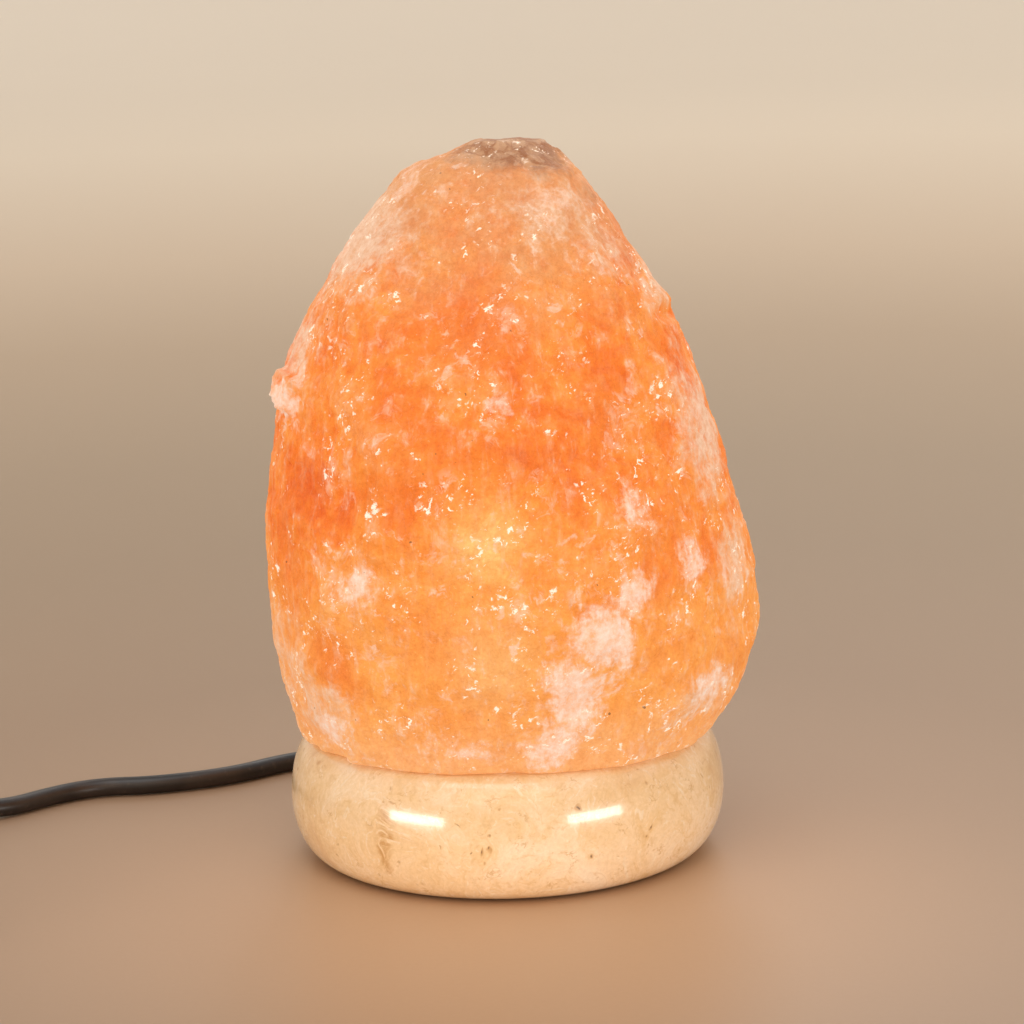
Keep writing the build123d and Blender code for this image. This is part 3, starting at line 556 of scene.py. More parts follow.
@dataclass(frozen=True)
class RockSalt(Finish):
    """Hewn salt lit from inside: orange, with pale and deep patches, frosty slopes with a painted
    fall of the glow, and painted glints.
    """

    name: str = "rock_salt"
    glow: float = 0.68
    lit_share: float = 0.36
    spread: float = 1.35
    softness: float = 0.95
    # painted glow: the brightest places of the bulb's light, each on a face that lies near the
    # bulb
    hot_spots: tuple[tuple[float, float, float], ...] = (
        (-3, -61, 100), (54, 31, 92), (-54, 31, 92),
    )

    def masks(self, graph: Graph, point: Term, tone: Tone) -> Term:
        """The union of all patches of one tone.

        Args:
            graph: the material's nodes.
            point: the point, already moved about by noise.
            tone: the patches to take.

        Returns:
            A mask from 0 to 1.
        """
        found = None
        for patch in PATCHES[tone]:
            radii = tuple(radius * self.spread for radius in patch.radii)
            mask = graph.blob(point, patch.centre, radii, self.softness) * patch.share
            found = mask if found is None else found.over(mask)
        return found

    def body(self, graph: Graph, point: Term, drifted: Term, edge: Term) -> Term:
        """The salt's colour, from deep to light orange, with its painted glow, painted relief
        shading and its pale places.

        Args:
            graph: the material's nodes.
            point: the point.
            drifted: the point moved about by noise, for uneven outlines.
            edge: 0 in a hollow and 1 on a ridge.

        Returns:
            The colour.
        """
        hue = graph.noise(drifted, 24.0, 8.0, 0.62)
        # painted relief shading: deeper orange in hollows and paler on ridges, where broken edges
        # are also whiter
        colour = graph.ramp(
            hue + (edge - 0.5) * 0.22,
            (0.28, linear(236, 100, 27)), (0.74, linear(252, 172, 106)),
            (0.42, linear(249, 124, 37)), (0.56, linear(253, 147, 56)),
        )
        # the lower half is lighter and yellower, where the bulb's light passes through less salt
        height = graph.height(point)
        pale_noise = graph.noise(drifted, 15.0, 6.0, 0.62)
        low = graph.step(height + (pale_noise - 0.5) * 40.0, 104.0, 66.0)
        colour = graph.blend(low * 0.62, colour, linear(255, 172, 84))
        foot = graph.step(height + (pale_noise - 0.5) * 26.0, 58.0, 36.0)
        colour = graph.blend(foot * 0.45, colour, linear(253, 190, 134))
        # painted shade: the top is duller and browner, where less of the bulb's glow reaches it,
        # and it is dustier
        upper = graph.step(height + (pale_noise - 0.5) * 70.0, 142.0, 190.0)
        colour = graph.blend(upper * 0.75, colour, linear(224, 158, 104))
        curd = 0.62 + 0.5 * graph.spots(drifted, 4.5, 5.0, 0.65, 0.40, 0.60)
        # painted glow round each hot spot: a halo, a yellower place below it and a bright core
        for centre in self.hot_spots:
            halo = graph.blob(drifted, centre, (38, 38, 38), 1.0)
            under = graph.blob(drifted, (centre[0] * 0.9, centre[1], centre[2] - 34.0),
                               (22, 26, 24), 1.0)
            core = graph.blob(drifted, centre, (15, 24, 17), 1.0) * curd
            colour = graph.blend(halo * 0.5, colour, linear(255, 156, 60))
            colour = graph.blend(under * 0.7, colour, linear(255, 188, 116))
            colour = graph.blend(core * 0.8, colour, linear(255, 204, 122))
        colour = graph.blend(self.masks(graph, drifted, Tone.DEEP) * 0.7, colour,
                             linear(240, 112, 32))
        grain = graph.noise(point, 0.9, 5.0, 0.75)
        shade = graph.ramp(grain, (0.28, (0.84, 0.76, 0.68, 1)), (0.72, (1.10, 1.17, 1.26, 1)))
        colour = graph.blend(0.75, colour, shade, "MULTIPLY")
        middle = graph.noise(graph.shift(point, 5.0, 3.0), 4.5, 6.0, 0.7)
        shade = graph.ramp(middle, (0.32, (0.90, 0.80, 0.70, 1)), (0.68, (1.05, 1.14, 1.24, 1)))
        return graph.blend(0.85, colour, shade, "MULTIPLY")

    def frost_falloff_and_inclusions(self, graph: Graph, point: Term, drifted: Term, edge: Term, colour: Term) -> Term:
        """The colour with its cream inclusions, its frosty slopes with a painted fall of the glow,
        and the crust on its cap.

        Args:
            graph: the material's nodes.
            point: the point.
            drifted: the point moved about by noise, for uneven outlines.
            edge: 0 in a hollow and 1 on a ridge.
            colour: the salt's colour, with its painted glow.

        Returns:
            The colour.
        """
        grains = graph.noise(point, 2.2, 6.0, 0.72)
        tall = graph.stretch(point, (1.0, 1.0, 0.22))
        streaks = graph.spots(graph.shift(tall, 6.0, 3.0), 2.4, 5.0, 0.65, 0.44, 0.66)
        # painted glow falloff: the oblique slopes are veiled pale, where less of the glow shows,
        # over a frosty grain
        frost_and_falloff = self.masks(graph, drifted, Tone.FROST_AND_FALLOFF)
        patchy = graph.noise(drifted, 9.0, 8.0, 0.66)
        # the pale veil is thicker on ridges: painted relief highlight, and broken edges that are
        # whiter
        veiled = graph.step(frost_and_falloff + (patchy - 0.5) * 1.5 + (grains - 0.5) * 0.6
                            + (streaks - 0.4) * 0.25 + (edge - 0.5) * 0.4, 0.02, 0.85)
        veil = graph.ramp(grains, (0.30, linear(226, 170, 128)), (0.66, linear(246, 212, 184)))
        colour = graph.blend(veiled * 0.86, colour, veil)
        # cream inclusions: wide ones by name, and smudges in groups over all of it
        named = self.masks(graph, drifted, Tone.CREAM)
        cream = graph.step(named + (grains - 0.5) * 0.8 + (patchy - 0.5) * 1.5
                           + (streaks - 0.4) * 0.25, 0.16, 0.86)
        groups = graph.spots(graph.shift(point, 12.0, 9.0), 24.0, 3.0, 0.5, 0.42, 0.58)
        smudges = graph.spots(drifted, 5.5, 7.0, 0.66, 0.565, 0.66) * groups
        scatter = graph.spots(drifted, 16.0, 9.0, 0.70, 0.57, 0.66)
        cream = cream.over(smudges * 0.62).over(scatter * 0.5)
        inner = graph.ramp(grains, (0.32, linear(252, 184, 136)), (0.64, linear(252, 226, 208)))
        colour = graph.blend(cream * 0.9, colour, inner)
        colour = graph.blend(streaks * 0.10, colour, linear(255, 206, 160))
        crust = graph.step(self.masks(graph, drifted, Tone.CRUST) + (grains - 0.5) * 0.5, 0.2, 0.8)
        brown = graph.blend(graph.spots(drifted, 7.0, 4.0, 0.6, 0.42, 0.6),
                            linear(152, 98, 64), linear(198, 154, 118))
        return graph.blend(crust * 0.9, colour, brown)

    def glints(self, graph: Graph, point: Term) -> Term:
        """The white flecks of broken grains, painted brighter than white as glints: flecks, curled
        chips and crumbs, in drifts.

        Args:
            graph: the material's nodes.
            point: the point.

        Returns:
            A mask from 0 to 1.
        """
        drift = graph.noise(graph.shift(point, 9.0, 8.0), 12.0, 5.0, 0.62)
        drifts = graph.step(drift, 0.50, 0.60)
        leaned = graph.add("VectorRotate", {"rotation_type": "AXIS_ANGLE"}, {
            "Vector": point, "Axis": (0.0, 1.0, 0.0), "Angle": math.radians(28)})
        slim = graph.stretch(leaned, (1.0, 1.0, 1.9))
        chips = graph.spots(graph.shift(slim, 2.4, 3.4), 4.2, 5.0, 0.62, 0.625, 0.66)
        flecks = graph.spots(graph.shift(slim, 1.5, 1.8), 1.7, 3.0, 0.6, 0.655, 0.69)
        # curled flakes: short lengths of the line where a noise crosses its middle
        curl = graph.noise(graph.shift(point, 3.0, 3.0), 5.0, 3.0, 0.5)
        line = graph.step(graph.math("ABSOLUTE", curl - 0.5, 0.0), 0.034, 0.014)
        lengths = graph.spots(point, 2.6, 4.0, 0.62, 0.555, 0.61)
        crumbs = graph.spots(point, 0.9, 2.0, 0.5, 0.72, 0.755)
        strong = graph.step(drift, 0.50, 0.58)
        return (chips * drifts).over(flecks * drifts * 0.85).over(line * lengths * strong).over(
            crumbs * (0.15 + drifts * 0.55))

    def wire(self, graph: Graph) -> None:
        """Adds the finish's nodes.

        Args:
            graph: the material's nodes.
        """
        point = graph.place()
        drifted = graph.shift(graph.shift(graph.shift(point, 22.0, 14.0), 6.5, 7.0), 2.0, 2.6)
        edge = graph.add("Attribute", {"attribute_name": EDGE}, {}, "Fac")
        colour = self.frost_falloff_and_inclusions(graph, point, drifted, edge, self.body(graph, point, drifted, edge))

        grain = graph.noise(point, 0.9, 5.0, 0.75)
        glints = self.glints(graph, point)
        specks = graph.spots(graph.shift(point, 30.0, 9.0), 2.3, 1.0, 0.4, 0.205, 0.175)
        colour = graph.blend(specks * 0.7, colour, linear(96, 62, 44))
        # painted glints: the white flecks are brighter than white
        colour = graph.blend(glints, colour, (1.12, 0.93, 0.74, 1.0))

        coarse = graph.noise(point, 3.2, 6.0, 0.68)
        relief = graph.bump(coarse, 0.0012, 0.8)
        relief = graph.bump(grain, 0.0005, 0.8, relief)
        base = graph.blend(1.0, colour, (self.lit_share,) * 3 + (1.0,), "MULTIPLY")
        graph.surface({
            "Base Color": base,
            "Roughness": 0.44 + (coarse - 0.5) * 0.3 - glints * 0.2,
            "Specular IOR Level": 0.3,
            "Emission Color": colour,
            "Emission Strength": self.glow,
            "Normal": relief,
        })


# ---------------------------------------------------------------- the stone
@dataclass(frozen=True)
class PolishedStone(Finish):
    """Polished cream limestone with swirls, ochre blotches, a vein and fine black specks."""

    name: str = "polished_stone"
    height: float = 35.0

    def wire(self, graph: Graph) -> None:
        """Adds the finish's nodes.

        Args:
            graph: the material's nodes.
        """
        point = graph.place()
        swirled = graph.shift(graph.shift(graph.shift(point, 30.0, 26.0), 9.0, 9.0), 3.0, 3.0)
        clouds = graph.noise(swirled, 20.0, 8.0, 0.62)
        colour = graph.ramp(
            clouds, (0.30, linear(228, 186, 136)), (0.74, linear(252, 232, 202)),
            (0.44, linear(241, 206, 156)), (0.56, linear(247, 217, 176)),
        )
        # small curls of ochre and of pale calcite
        curls = graph.noise(swirled, 4.4, 7.0, 0.66, twist=1.6)
        colour = graph.blend(graph.step(curls, 0.53, 0.66) * 0.42, colour, linear(224, 180, 120))
        colour = graph.blend(graph.step(curls, 0.45, 0.34) * 0.5, colour, linear(252, 236, 210))
        ridge = graph.noise(graph.shift(point, 7.0, 9.0), 9.0, 5.0, 0.6)
        vein = graph.step(graph.math("ABSOLUTE", ridge - 0.5, 0.0), 0.016, 0.0)
        broken = graph.spots(point, 6.0, 4.0, 0.6, 0.52, 0.62)
        colour = graph.blend(vein * broken * 0.55, colour, linear(204, 154, 92))
        named = graph.blob(graph.shift(graph.shift(point, 7.0, 5.0), 2.0, 2.0),
                           (-33, -50, 17), (3.0, 9, 15), 0.8)
        colour = graph.blend(named * graph.step(curls, 0.40, 0.56) * 0.9, colour,
                             linear(202, 150, 86))
        # ochre dots and dark specks
        cells = graph.add("TexVoronoi", {}, {"Vector": swirled, "Scale": 1 / 4.2}, "Distance")
        kept = graph.spots(point, 7.0, 2.0, 0.5, 0.52, 0.58)
        colour = graph.blend(graph.step(cells, 0.20, 0.10) * kept * 0.6, colour,
                             linear(198, 146, 84))
        speck = graph.step(cells, 0.085, 0.05) * graph.step(kept, 0.6, 0.9)
        colour = graph.blend(speck * 0.75, colour, linear(78, 58, 42))
        # painted light: the lower flank is paler, as painted bounce light from the floor, and the
        # shoulder darker, as painted shade under the crystal
        height = graph.height(point)
        painted_bounce_and_shade = graph.ramp(
            height / self.height, (0.15, (1.12, 1.12, 1.16, 1)), (0.8, (0.88, 0.86, 0.85, 1)),
        )
        colour = graph.blend(1.0, colour, painted_bounce_and_shade, "MULTIPLY")
        fine = graph.noise(point, 1.0, 5.0, 0.7)
        colour = graph.blend(0.8, colour,
                             graph.ramp(fine, (0.3, (0.84, 0.80, 0.74, 1)), (0.7, (1, 1, 1, 1))),
                             "MULTIPLY")
        graph.surface({
            "Base Color": colour,
            "Roughness": 0.22 + (clouds - 0.5) * 0.10 + speck * 0.3,
            "Coat Weight": 0.5,
            "Coat Roughness": 0.06,
            "Normal": graph.bump(fine, 0.00002),
        })


@dataclass(frozen=True)
class Sweep(Finish):
    """The warm beige paper that the lamp stands on, with painted light: darkest behind the lamp,
    paler far away, and warmer in front of it.
    """

    name: str = "sweep_paper"
    span: float = 4000.0

    def wire(self, graph: Graph) -> None:
        """Adds the finish's nodes.

        Args:
            graph: the material's nodes.
        """
        point = graph.place()
        flat = graph.stretch(point, (1.0, 1.0, 0.0))
        away = graph.add("VectorMath", {"operation": "LENGTH"}, {0: flat}, "Value")
        # painted light falloff over the paper's distance from the lamp
        colour = graph.ramp(
            away / self.span,
            (0.0, (0.395, 0.262, 0.168, 1)), (0.80, (0.95, 0.87, 0.76, 1)),
            (0.05, (0.310, 0.205, 0.130, 1)), (0.10, (0.310, 0.216, 0.139, 1)),
            (0.14, (0.335, 0.240, 0.157, 1)), (0.22, (0.435, 0.318, 0.213, 1)),
            (0.30, (0.58, 0.448, 0.322, 1)), (0.45, (0.76, 0.645, 0.51, 1)),
        )
        # painted light: a warm patch of the lamp's glow on the paper in front of it
        painted_glow_pool = graph.blob(point, (0, -70, 0), (190, 150, 60), 1.0)
        colour = graph.blend(painted_glow_pool * 0.5, colour, (0.60, 0.39, 0.235, 1))
        fibre = graph.noise(point, 1.6, 5.0, 0.6)
        tooth = graph.ramp(fibre, (0.3, (0.97, 0.97, 0.97, 1)), (0.7, (1.0, 1.0, 1.0, 1)))
        graph.surface({
            "Base Color": graph.blend(0.8, colour, tooth, "MULTIPLY"),
            "Roughness": 0.46,
            "Normal": graph.bump(fibre, 0.00004, 0.4),
        })


# ---------------------------------------------------------------- mesh helpers
def new_object(name: str, mesh: bpy.types.ID) -> bpy.types.Object:
    """An object in the scene, at the origin.

    Args:
        name: its name.
        mesh: its mesh, curve or light.

    Returns:
        The object.
    """
    piece = bpy.data.objects.new(name, mesh)
    bpy.context.scene.collection.objects.link(piece)
    return piece


def from_bmesh(name: str, work: bmesh.types.BMesh, sharp: float | None = 35.0) -> bpy.types.Object:
    """An object from a bmesh, smooth but for the edges sharper than an angle.

    Args:
        name: its name.
        work: the bmesh, which is freed.
        sharp: the angle in degrees, or None for all smooth.

    Returns:
        The object.
    """
    mesh = bpy.data.meshes.new(name)
    work.to_mesh(mesh)
    work.free()
    mesh.shade_smooth()
    if sharp is not None:
        mesh.set_sharp_from_angle(angle=math.radians(sharp))
    return new_object(name, mesh)


def copy_of(node: str, name: str) -> bpy.types.Object:
    """A merged copy of one of the frame's nodes.

    Args:
        node: the node.
        name: the copy's name.

    Returns:
        The copy.
    """
    work = bmesh.new()
    work.from_mesh(frame["nodes"][node].data)
    bmesh.ops.remove_doubles(work, verts=work.verts, dist=0.02 * MM)
    bmesh.ops.recalc_face_normals(work, faces=work.faces)
    return from_bmesh(name, work)


def apply_modifiers(piece: bpy.types.Object) -> None:
    """Bakes a piece's modifiers into its mesh."""
    view = bpy.context.evaluated_depsgraph_get()
    view.update()
    mesh = bpy.data.meshes.new_from_object(piece.evaluated_get(view))
    piece.modifiers.clear()
    old = piece.data
    piece.data = mesh
    bpy.data.meshes.remove(old)


def dress(piece: bpy.types.Object, material: bpy.types.Material, slot: str, body: str,
          *nodes: str) -> None:
    """Gives a new piece its finish, its body and the nodes that it stands for.

    Args:
        piece: the piece.
        material: its finish.
        slot: the record's slot, not used.
        body: the body it rides on.
        nodes: the frame's nodes that it replaces.
    """
    piece.data.materials.clear()
    piece.data.materials.append(material)
    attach(piece, body)
    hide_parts(*nodes)
    log.info("%s stands for %s", piece.name, ", ".join(nodes))


def smooth_step(low: float, high: float, value: float) -> float:
    """A soft step from 0 at low to 1 at high, either way round."""
    share = min(1.0, max(0.0, (value - low) / (high - low)))
    return share * share * (3 - 2 * share)


# ---------------------------------------------------------------- the crystal
@dataclass
class SaltCrystal:
    """The hewn crystal: the frame's own block, remeshed fine and worn."""

    foot: float = 35.0
    top: float = 197.0
    right: float = 70.9
    left: float = 64.3
    front: float = 65.8
    back: float = 61.4
    voxel: float = 1.08
    cleavage: float = 11.0
    bore_radius: float = 22.0
    bore_end: float = 128.0
    smoothings: int = 3
    keep: float = 3.0
    foot_keep: float = 1.2
    foot_radius: float = 45.0
    edge_blur: int = 3
    edge_gain: float = 4.0

    def wear(self, point: Vector) -> float:
        """How far the face stands out at a point, in millimetres.

        Args:
            point: a point of the face, in millimetres.

        Returns:
            The distance, outwards.
        """
        broad = noise.noise(point / 31.0) * 0.4
        middle = noise.noise(point / 9.0 + Vector((7, 3, 1))) * 0.7
        # cleaved faces: each cell of the rock tilts its own way
        distances, corners = noise.voronoi(point / self.cleavage)
        cell = corners[0]
        tilt = noise.noise_vector(cell * 5.3)
        facet = max(-0.5, min(0.5, (point / self.cleavage - cell).dot(tilt) * 1.1))
        crack = smooth_step(0.10, 0.0, distances[1] - distances[0]) * 0.3
        pits = -0.4 * smooth_step(0.12, 0.5, noise.noise(point / 3.4))
        grain = noise.noise(point / 1.9 + Vector((0, 9, 4))) * 0.22
        return broad + middle + facet - crack + pits + grain

    def features(self, point: Vector) -> Vector:
        """The move of a point by the foot's scallops and its notch, in millimetres.

        Args:
            point: a point of the face, in millimetres.

        Returns:
            The move.
        """
        outward = Vector((point.x, point.y, 0.0)).normalized()
        near_foot = smooth_step(52.0, 37.0, point.z)
        scallop = noise.noise(Vector((point.x, point.y, point.z * 0.3)) / 8.0)
        move = -outward * near_foot * (0.6 + 1.6 * max(0.0, scallop))
        away = (Vector((point.x, point.y, 0.0)) - Vector((-48.5, -33.0, 0.0))).length
        cut = smooth_step(9.0, 3.0, away) * smooth_step(46.0, 36.0, point.z)
        return move + Vector((0.8, 0.6, 0.0)) * 2.4 * cut

    def mark_edges(self, work: bmesh.types.BMesh) -> None:
        """Stores how far each vertex stands out from its neighbours: 0 in a hollow, 1 on a ridge.

        Args:
            work: the crystal.
        """
        work.normal_update()
        layer = work.verts.layers.float.new(EDGE)
        rough = []
        for vertex in work.verts:
            around = [edge.other_vert(vertex).co for edge in vertex.link_edges]
            middle = sum(around, Vector()) / len(around)
            rough.append((vertex.co - middle).dot(vertex.normal) / MM)
        work.verts.index_update()
        for _ in range(self.edge_blur):
            rough = [
                (rough[vertex.index] + sum(rough[edge.other_vert(vertex).index]
                                           for edge in vertex.link_edges))
                / (1 + len(vertex.link_edges))
                for vertex in work.verts
            ]
        for vertex, height in zip(work.verts, rough):
            vertex[layer] = min(1.0, max(0.0, 0.5 + height * self.edge_gain))

    def build(self) -> None:
        """Builds the crystal and dresses it."""
        piece = copy_of("salt_crystal", "hewn_crystal")
        remesh = piece.modifiers.new("grain", "REMESH")
        remesh.mode = "VOXEL"
        remesh.voxel_size = self.voxel * MM
        apply_modifiers(piece)
        work = bmesh.new()
        work.from_mesh(piece.data)
        for _ in range(self.smoothings):
            bmesh.ops.smooth_vert(work, verts=work.verts, factor=0.5,
                                  use_axis_x=True, use_axis_y=True, use_axis_z=True)
        work.normal_update()
        middle = Vector((0.0, 0.0, 95.0))
        for vertex in work.verts:
            point = vertex.co / MM
            across = math.hypot(point.x, point.y)
            # the bore and the seat on the base stay as they are
            if point.z < self.bore_end + self.keep and across < self.bore_radius + self.keep:
                continue
            if point.z < self.foot + self.foot_keep and across < self.foot_radius:
                continue
            outward = (vertex.normal * 0.75 + (point - middle).normalized() * 0.25).normalized()
            outward.z *= smooth_step(self.foot + 0.5, self.foot + 8.0, point.z)
            point += self.features(point)
            point += outward * self.wear(point)
            point.x = max(-self.left, min(self.right, point.x))
            point.y = max(-self.front, min(self.back, point.y))
            point.z = max(self.foot, min(self.top, point.z))
            vertex.co = point * MM
        bmesh.ops.recalc_face_normals(work, faces=work.faces)
        self.mark_edges(work)
        work.to_mesh(piece.data)
        work.free()
        piece.data.shade_smooth()
        log.info("crystal: %d faces", len(piece.data.polygons))
        dress(piece, RockSalt().material(), "rock_salt", LAMP, "salt_crystal")


# ---------------------------------------------------------------- the base
@dataclass
class StoneBase:
    """The turned base with its bore, cord groove and counterbores, and the felt under it."""

    radius: float = 60.0
    top: float = 35.0
    felt: float = 0.6
    lower_width: float = 10.0
    lower_height: float = 16.9
    upper_width: float = 8.0
    bore: float = 22.0
    groove_width: float = 7.4
    groove_depth: float = 8.0
    screw_circle: float = 35.0
    counterbore: float = 5.5
    counterbore_depth: float = 6.5
    screw_hole: float = 2.35
    screw_hole_depth: float = 80.0
    groove_length: float = 70.0
    groove_sides: int = 32
    felt_inner: float = 26.0
    felt_outer: float = 44.0
    felt_rounding: float = 0.2
    felt_steps: int = 120
    sides: int = 160
    arc_steps: int = 22

    def profile(self) -> list[tuple[float, float]]:
        """The outline of half the base's section.

        Returns:
            The radius and height of each point, in millimetres.
        """
        waist = self.felt + self.lower_height
        points = [(self.bore, self.felt), (self.bore + 0.6, self.felt)]
        for step in range(self.arc_steps + 1):
            angle = math.pi / 2 * step / self.arc_steps
            points.append((
                self.radius - self.lower_width * (1 - math.sin(angle)),
                waist - self.lower_height * math.cos(angle),
            ))
        for step in range(1, self.arc_steps + 1):
            angle = math.pi / 2 * step / self.arc_steps
            points.append((
                self.radius - self.upper_width * (1 - math.cos(angle)),
                waist + (self.top - waist) * math.sin(angle),
            ))
        points.append((self.bore + 0.4, self.top))
        points.append((self.bore, self.top - 0.4))
        return points

    def rod(self, work: bmesh.types.BMesh, radius: float, length: float, sides: int,
            place: Matrix) -> None:
        """Adds a round rod to a cutting block.

        Args:
            work: the block.
            radius: its radius in millimetres.
            length: its length in millimetres.
            sides: how many sides it has.
            place: where it lies, in metres.
        """
        bmesh.ops.create_cone(work, cap_ends=True, segments=sides, radius1=radius * MM,
                              radius2=radius * MM, depth=length * MM, matrix=place)

    def cutter(self, name: str, work: bmesh.types.BMesh) -> bpy.types.Object:
        """A cutting block that never shows."""
        block = from_bmesh(name, work)
        block.hide_render = True
        return block

    def build(self) -> None:
        """Builds the base and its felt and dresses them."""
        work = bmesh.new()
        ring = [work.verts.new((x * MM, 0.0, z * MM)) for x, z in self.profile()]
        edges = [work.edges.new(pair) for pair in zip(ring, ring[1:] + ring[:1])]
        bmesh.ops.spin(work, geom=ring + edges, cent=(0, 0, 0), axis=(0, 0, 1),
                       angle=2 * math.pi, steps=self.sides, use_merge=True)
        bmesh.ops.remove_doubles(work, verts=work.verts, dist=0.01 * MM)
        bmesh.ops.recalc_face_normals(work, faces=work.faces)
        base = from_bmesh("turned_base", work)

        groove = bmesh.new()
        half = self.groove_width / 2
        crown = self.groove_depth - half
        along = self.groove_length / 2
        self.rod(groove, half, self.groove_length, self.groove_sides,
                 Matrix.Translation((0, along * MM, crown * MM))
                 @ Matrix.Rotation(math.pi / 2, 4, "X"))
        # the trench ends a little short of the rod, so that no two faces of the cutters agree
        trench = bmesh.new()
        depth = 10.0
        bmesh.ops.create_cube(
            trench, size=1.0, matrix=Matrix.Translation((0, along * MM, (crown - depth / 2) * MM))
            @ Matrix.Diagonal((self.groove_width * MM, (self.groove_length - 0.1) * MM,
                               depth * MM, 1)),
        )
        holes = bmesh.new()
        for side in (-1, 1):
            x = side * self.screw_circle * MM
            self.rod(holes, self.counterbore, 2 * self.counterbore_depth, 48,
                     Matrix.Translation((x, 0, self.felt * MM)))
            self.rod(holes, self.screw_hole, self.screw_hole_depth, self.groove_sides,
                     Matrix.Translation((x, 0, 0)))
        cutters = [self.cutter("groove_cutter", groove), self.cutter("trench_cutter", trench),
                   self.cutter("hole_cutter", holes)]
        for cutter in cutters:
            cut = base.modifiers.new(cutter.name, "BOOLEAN")
            cut.operation = "DIFFERENCE"
            cut.solver = "EXACT"
            cut.use_self = cutter.name == "hole_cutter"
            cut.object = cutter
        apply_modifiers(base)
        for cutter in cutters:
            bpy.data.objects.remove(cutter)
        base.data.shade_smooth()
        base.data.set_sharp_from_angle(angle=math.radians(30))
        dress(base, PolishedStone().material(), "polished_stone", LAMP, "marble_base")

        felt = bmesh.new()
        gap = math.asin(half / self.felt_inner)
        rounding = self.felt_rounding
        outline = (
            (self.felt_inner, 0.0), (self.felt_outer - rounding, 0.0),
            (self.felt_outer, rounding), (self.felt_outer, self.felt - rounding),
            (self.felt_outer - rounding, self.felt), (self.felt_inner, self.felt),
        )
        start = Matrix.Rotation(math.pi / 2 + gap, 3, "Z")
        ring = [felt.verts.new(start @ Vector((x * MM, 0.0, z * MM))) for x, z in outline]
        strip = felt.faces.new(ring)
        bmesh.ops.spin(felt, geom=[strip, *strip.edges, *ring], cent=(0, 0, 0),
                       axis=(0, 0, 1), angle=2 * math.pi - 2 * gap, steps=self.felt_steps)
        bmesh.ops.recalc_face_normals(felt, faces=felt.faces)
        pad = from_bmesh("felt_pad", felt)
        dress(pad, Pressed("felt", (44, 42, 40)).material(), "felt", LAMP, "felt_ring")


# ---------------------------------------------------------------- the cords
@dataclass
class MainsCord:
    """The cord: held in the lamp, free to the switch, and on through its coil to the plug."""

    diameter: float = 5.4
    lower_layer: float = 3.7
    pitch: float = 5.95
    coil_radius: float = 41.5
    half_turns: int = 12
    steps: int = 12
    lead_length: float = 247.7
    link_length: float = 1450.5
    held: tuple = (
        (0.0, 0.0, 27.8), (0.0, 0.0, 15.0), (0.0, 5.0, 5.5), (0.0, 14.0, 2.8), (0.0, 50.0, 2.8),
    )
    lead: tuple = (
        (0.0, 50.0, 2.8), (0.0, 69.6, 2.8), (-9.6, 84.5, 2.8), (-25.7, 91.8, 2.8),
        (-44.5, 89.0, 2.8), (-66.0, 80.2, 2.8), (-81.8, 66.4, 2.8), (-104.5, 58.8, 2.8),
        (-118.5, 59.0, 2.8), (-131.0, 53.2, 2.8), (-149.0, 35.5, 2.8), (-170.5, 33.0, 7.5),
        (-204.0, 33.0, 7.5),
    )
    link: tuple = (
        (-250.0, 33.0, 7.5), (-285.3, 33.0, 7.5), (-302.9, 15.4, 3.7), (-302.9, -23.5, 3.7),
    )
    coil_y: float = -28.9
    tail: tuple = (
        (-256.0, -70.4, 9.65), (-241.0, -70.4, 9.65), (-223.0, -74.2, 6.95), (-207.5, -74.2, 6.95),
    )

    def coil(self) -> list[tuple[float, float, float]]:
        """The tied coil's line: inwards for half its turns, up a layer, and out again.

        Returns:
            Its control points in millimetres.
        """
        points = []
        x, z = self.link[-1][0], self.lower_layer
        reversal = self.half_turns // 2
        outer = 1 / math.cos(math.pi / 2 / self.steps)
        for half_turn in range(self.half_turns + 1):
            inward = reversal - abs(reversal - half_turn)
            radius = self.coil_radius - inward * self.pitch / 2
            side = -1 if half_turn % 2 == 0 else 1
            climb = self.pitch if half_turn == reversal else 0.0
            steps = self.steps if half_turn < self.half_turns else self.steps // 2
            centre = x - side * radius
            for step in range(steps):
                share = (step + 0.5) / self.steps
                angle = math.pi * (1 + half_turn + share)
                points.append((
                    centre + radius * outer * math.cos(angle),
                    self.coil_y + radius * outer * math.sin(angle),
                    z + climb * share,
                ))
            x, z = x - side * 2 * radius, z + climb
        return points

    def tube(self, name: str, points: list) -> bpy.types.Object:
        """A round cord along a smooth open line.

        Args:
            name: the object's name.
            points: the line's control points in millimetres.

        Returns:
            The cord.
        """
        curve = bpy.data.curves.new(name, "CURVE")
        curve.dimensions = "3D"
        curve.resolution_u = 12
        curve.bevel_depth = self.diameter / 2 * MM
        curve.bevel_resolution = 6
        curve.use_fill_caps = True
        spline = curve.splines.new("NURBS")
        spline.points.add(len(points) - 1)
        for control, (x, y, z) in zip(spline.points, points):
            control.co = (x * MM, y * MM, z * MM, 1.0)
        spline.order_u = 3
        spline.use_endpoint_u = True
        spline.use_smooth = True
        return new_object(name, curve)

    def build(self) -> None:
        sheath = Sheath("cord_sheath").material()
        held = self.tube("held_cord", list(self.held))
        dress(held, sheath, "cord_sheath", LAMP, "cord_in_base")
        lead = self.tube("lamp_to_switch_cord", list(self.lead))
        dress(lead, sheath, "cord_sheath", LAMP, "cord_lead")
        rest = self.tube("switch_to_plug_cord", [*self.link, *self.coil(), *self.tail])
        dress(rest, sheath, "cord_sheath", LAMP, "cord_link", "cord_coil", "cord_tail")


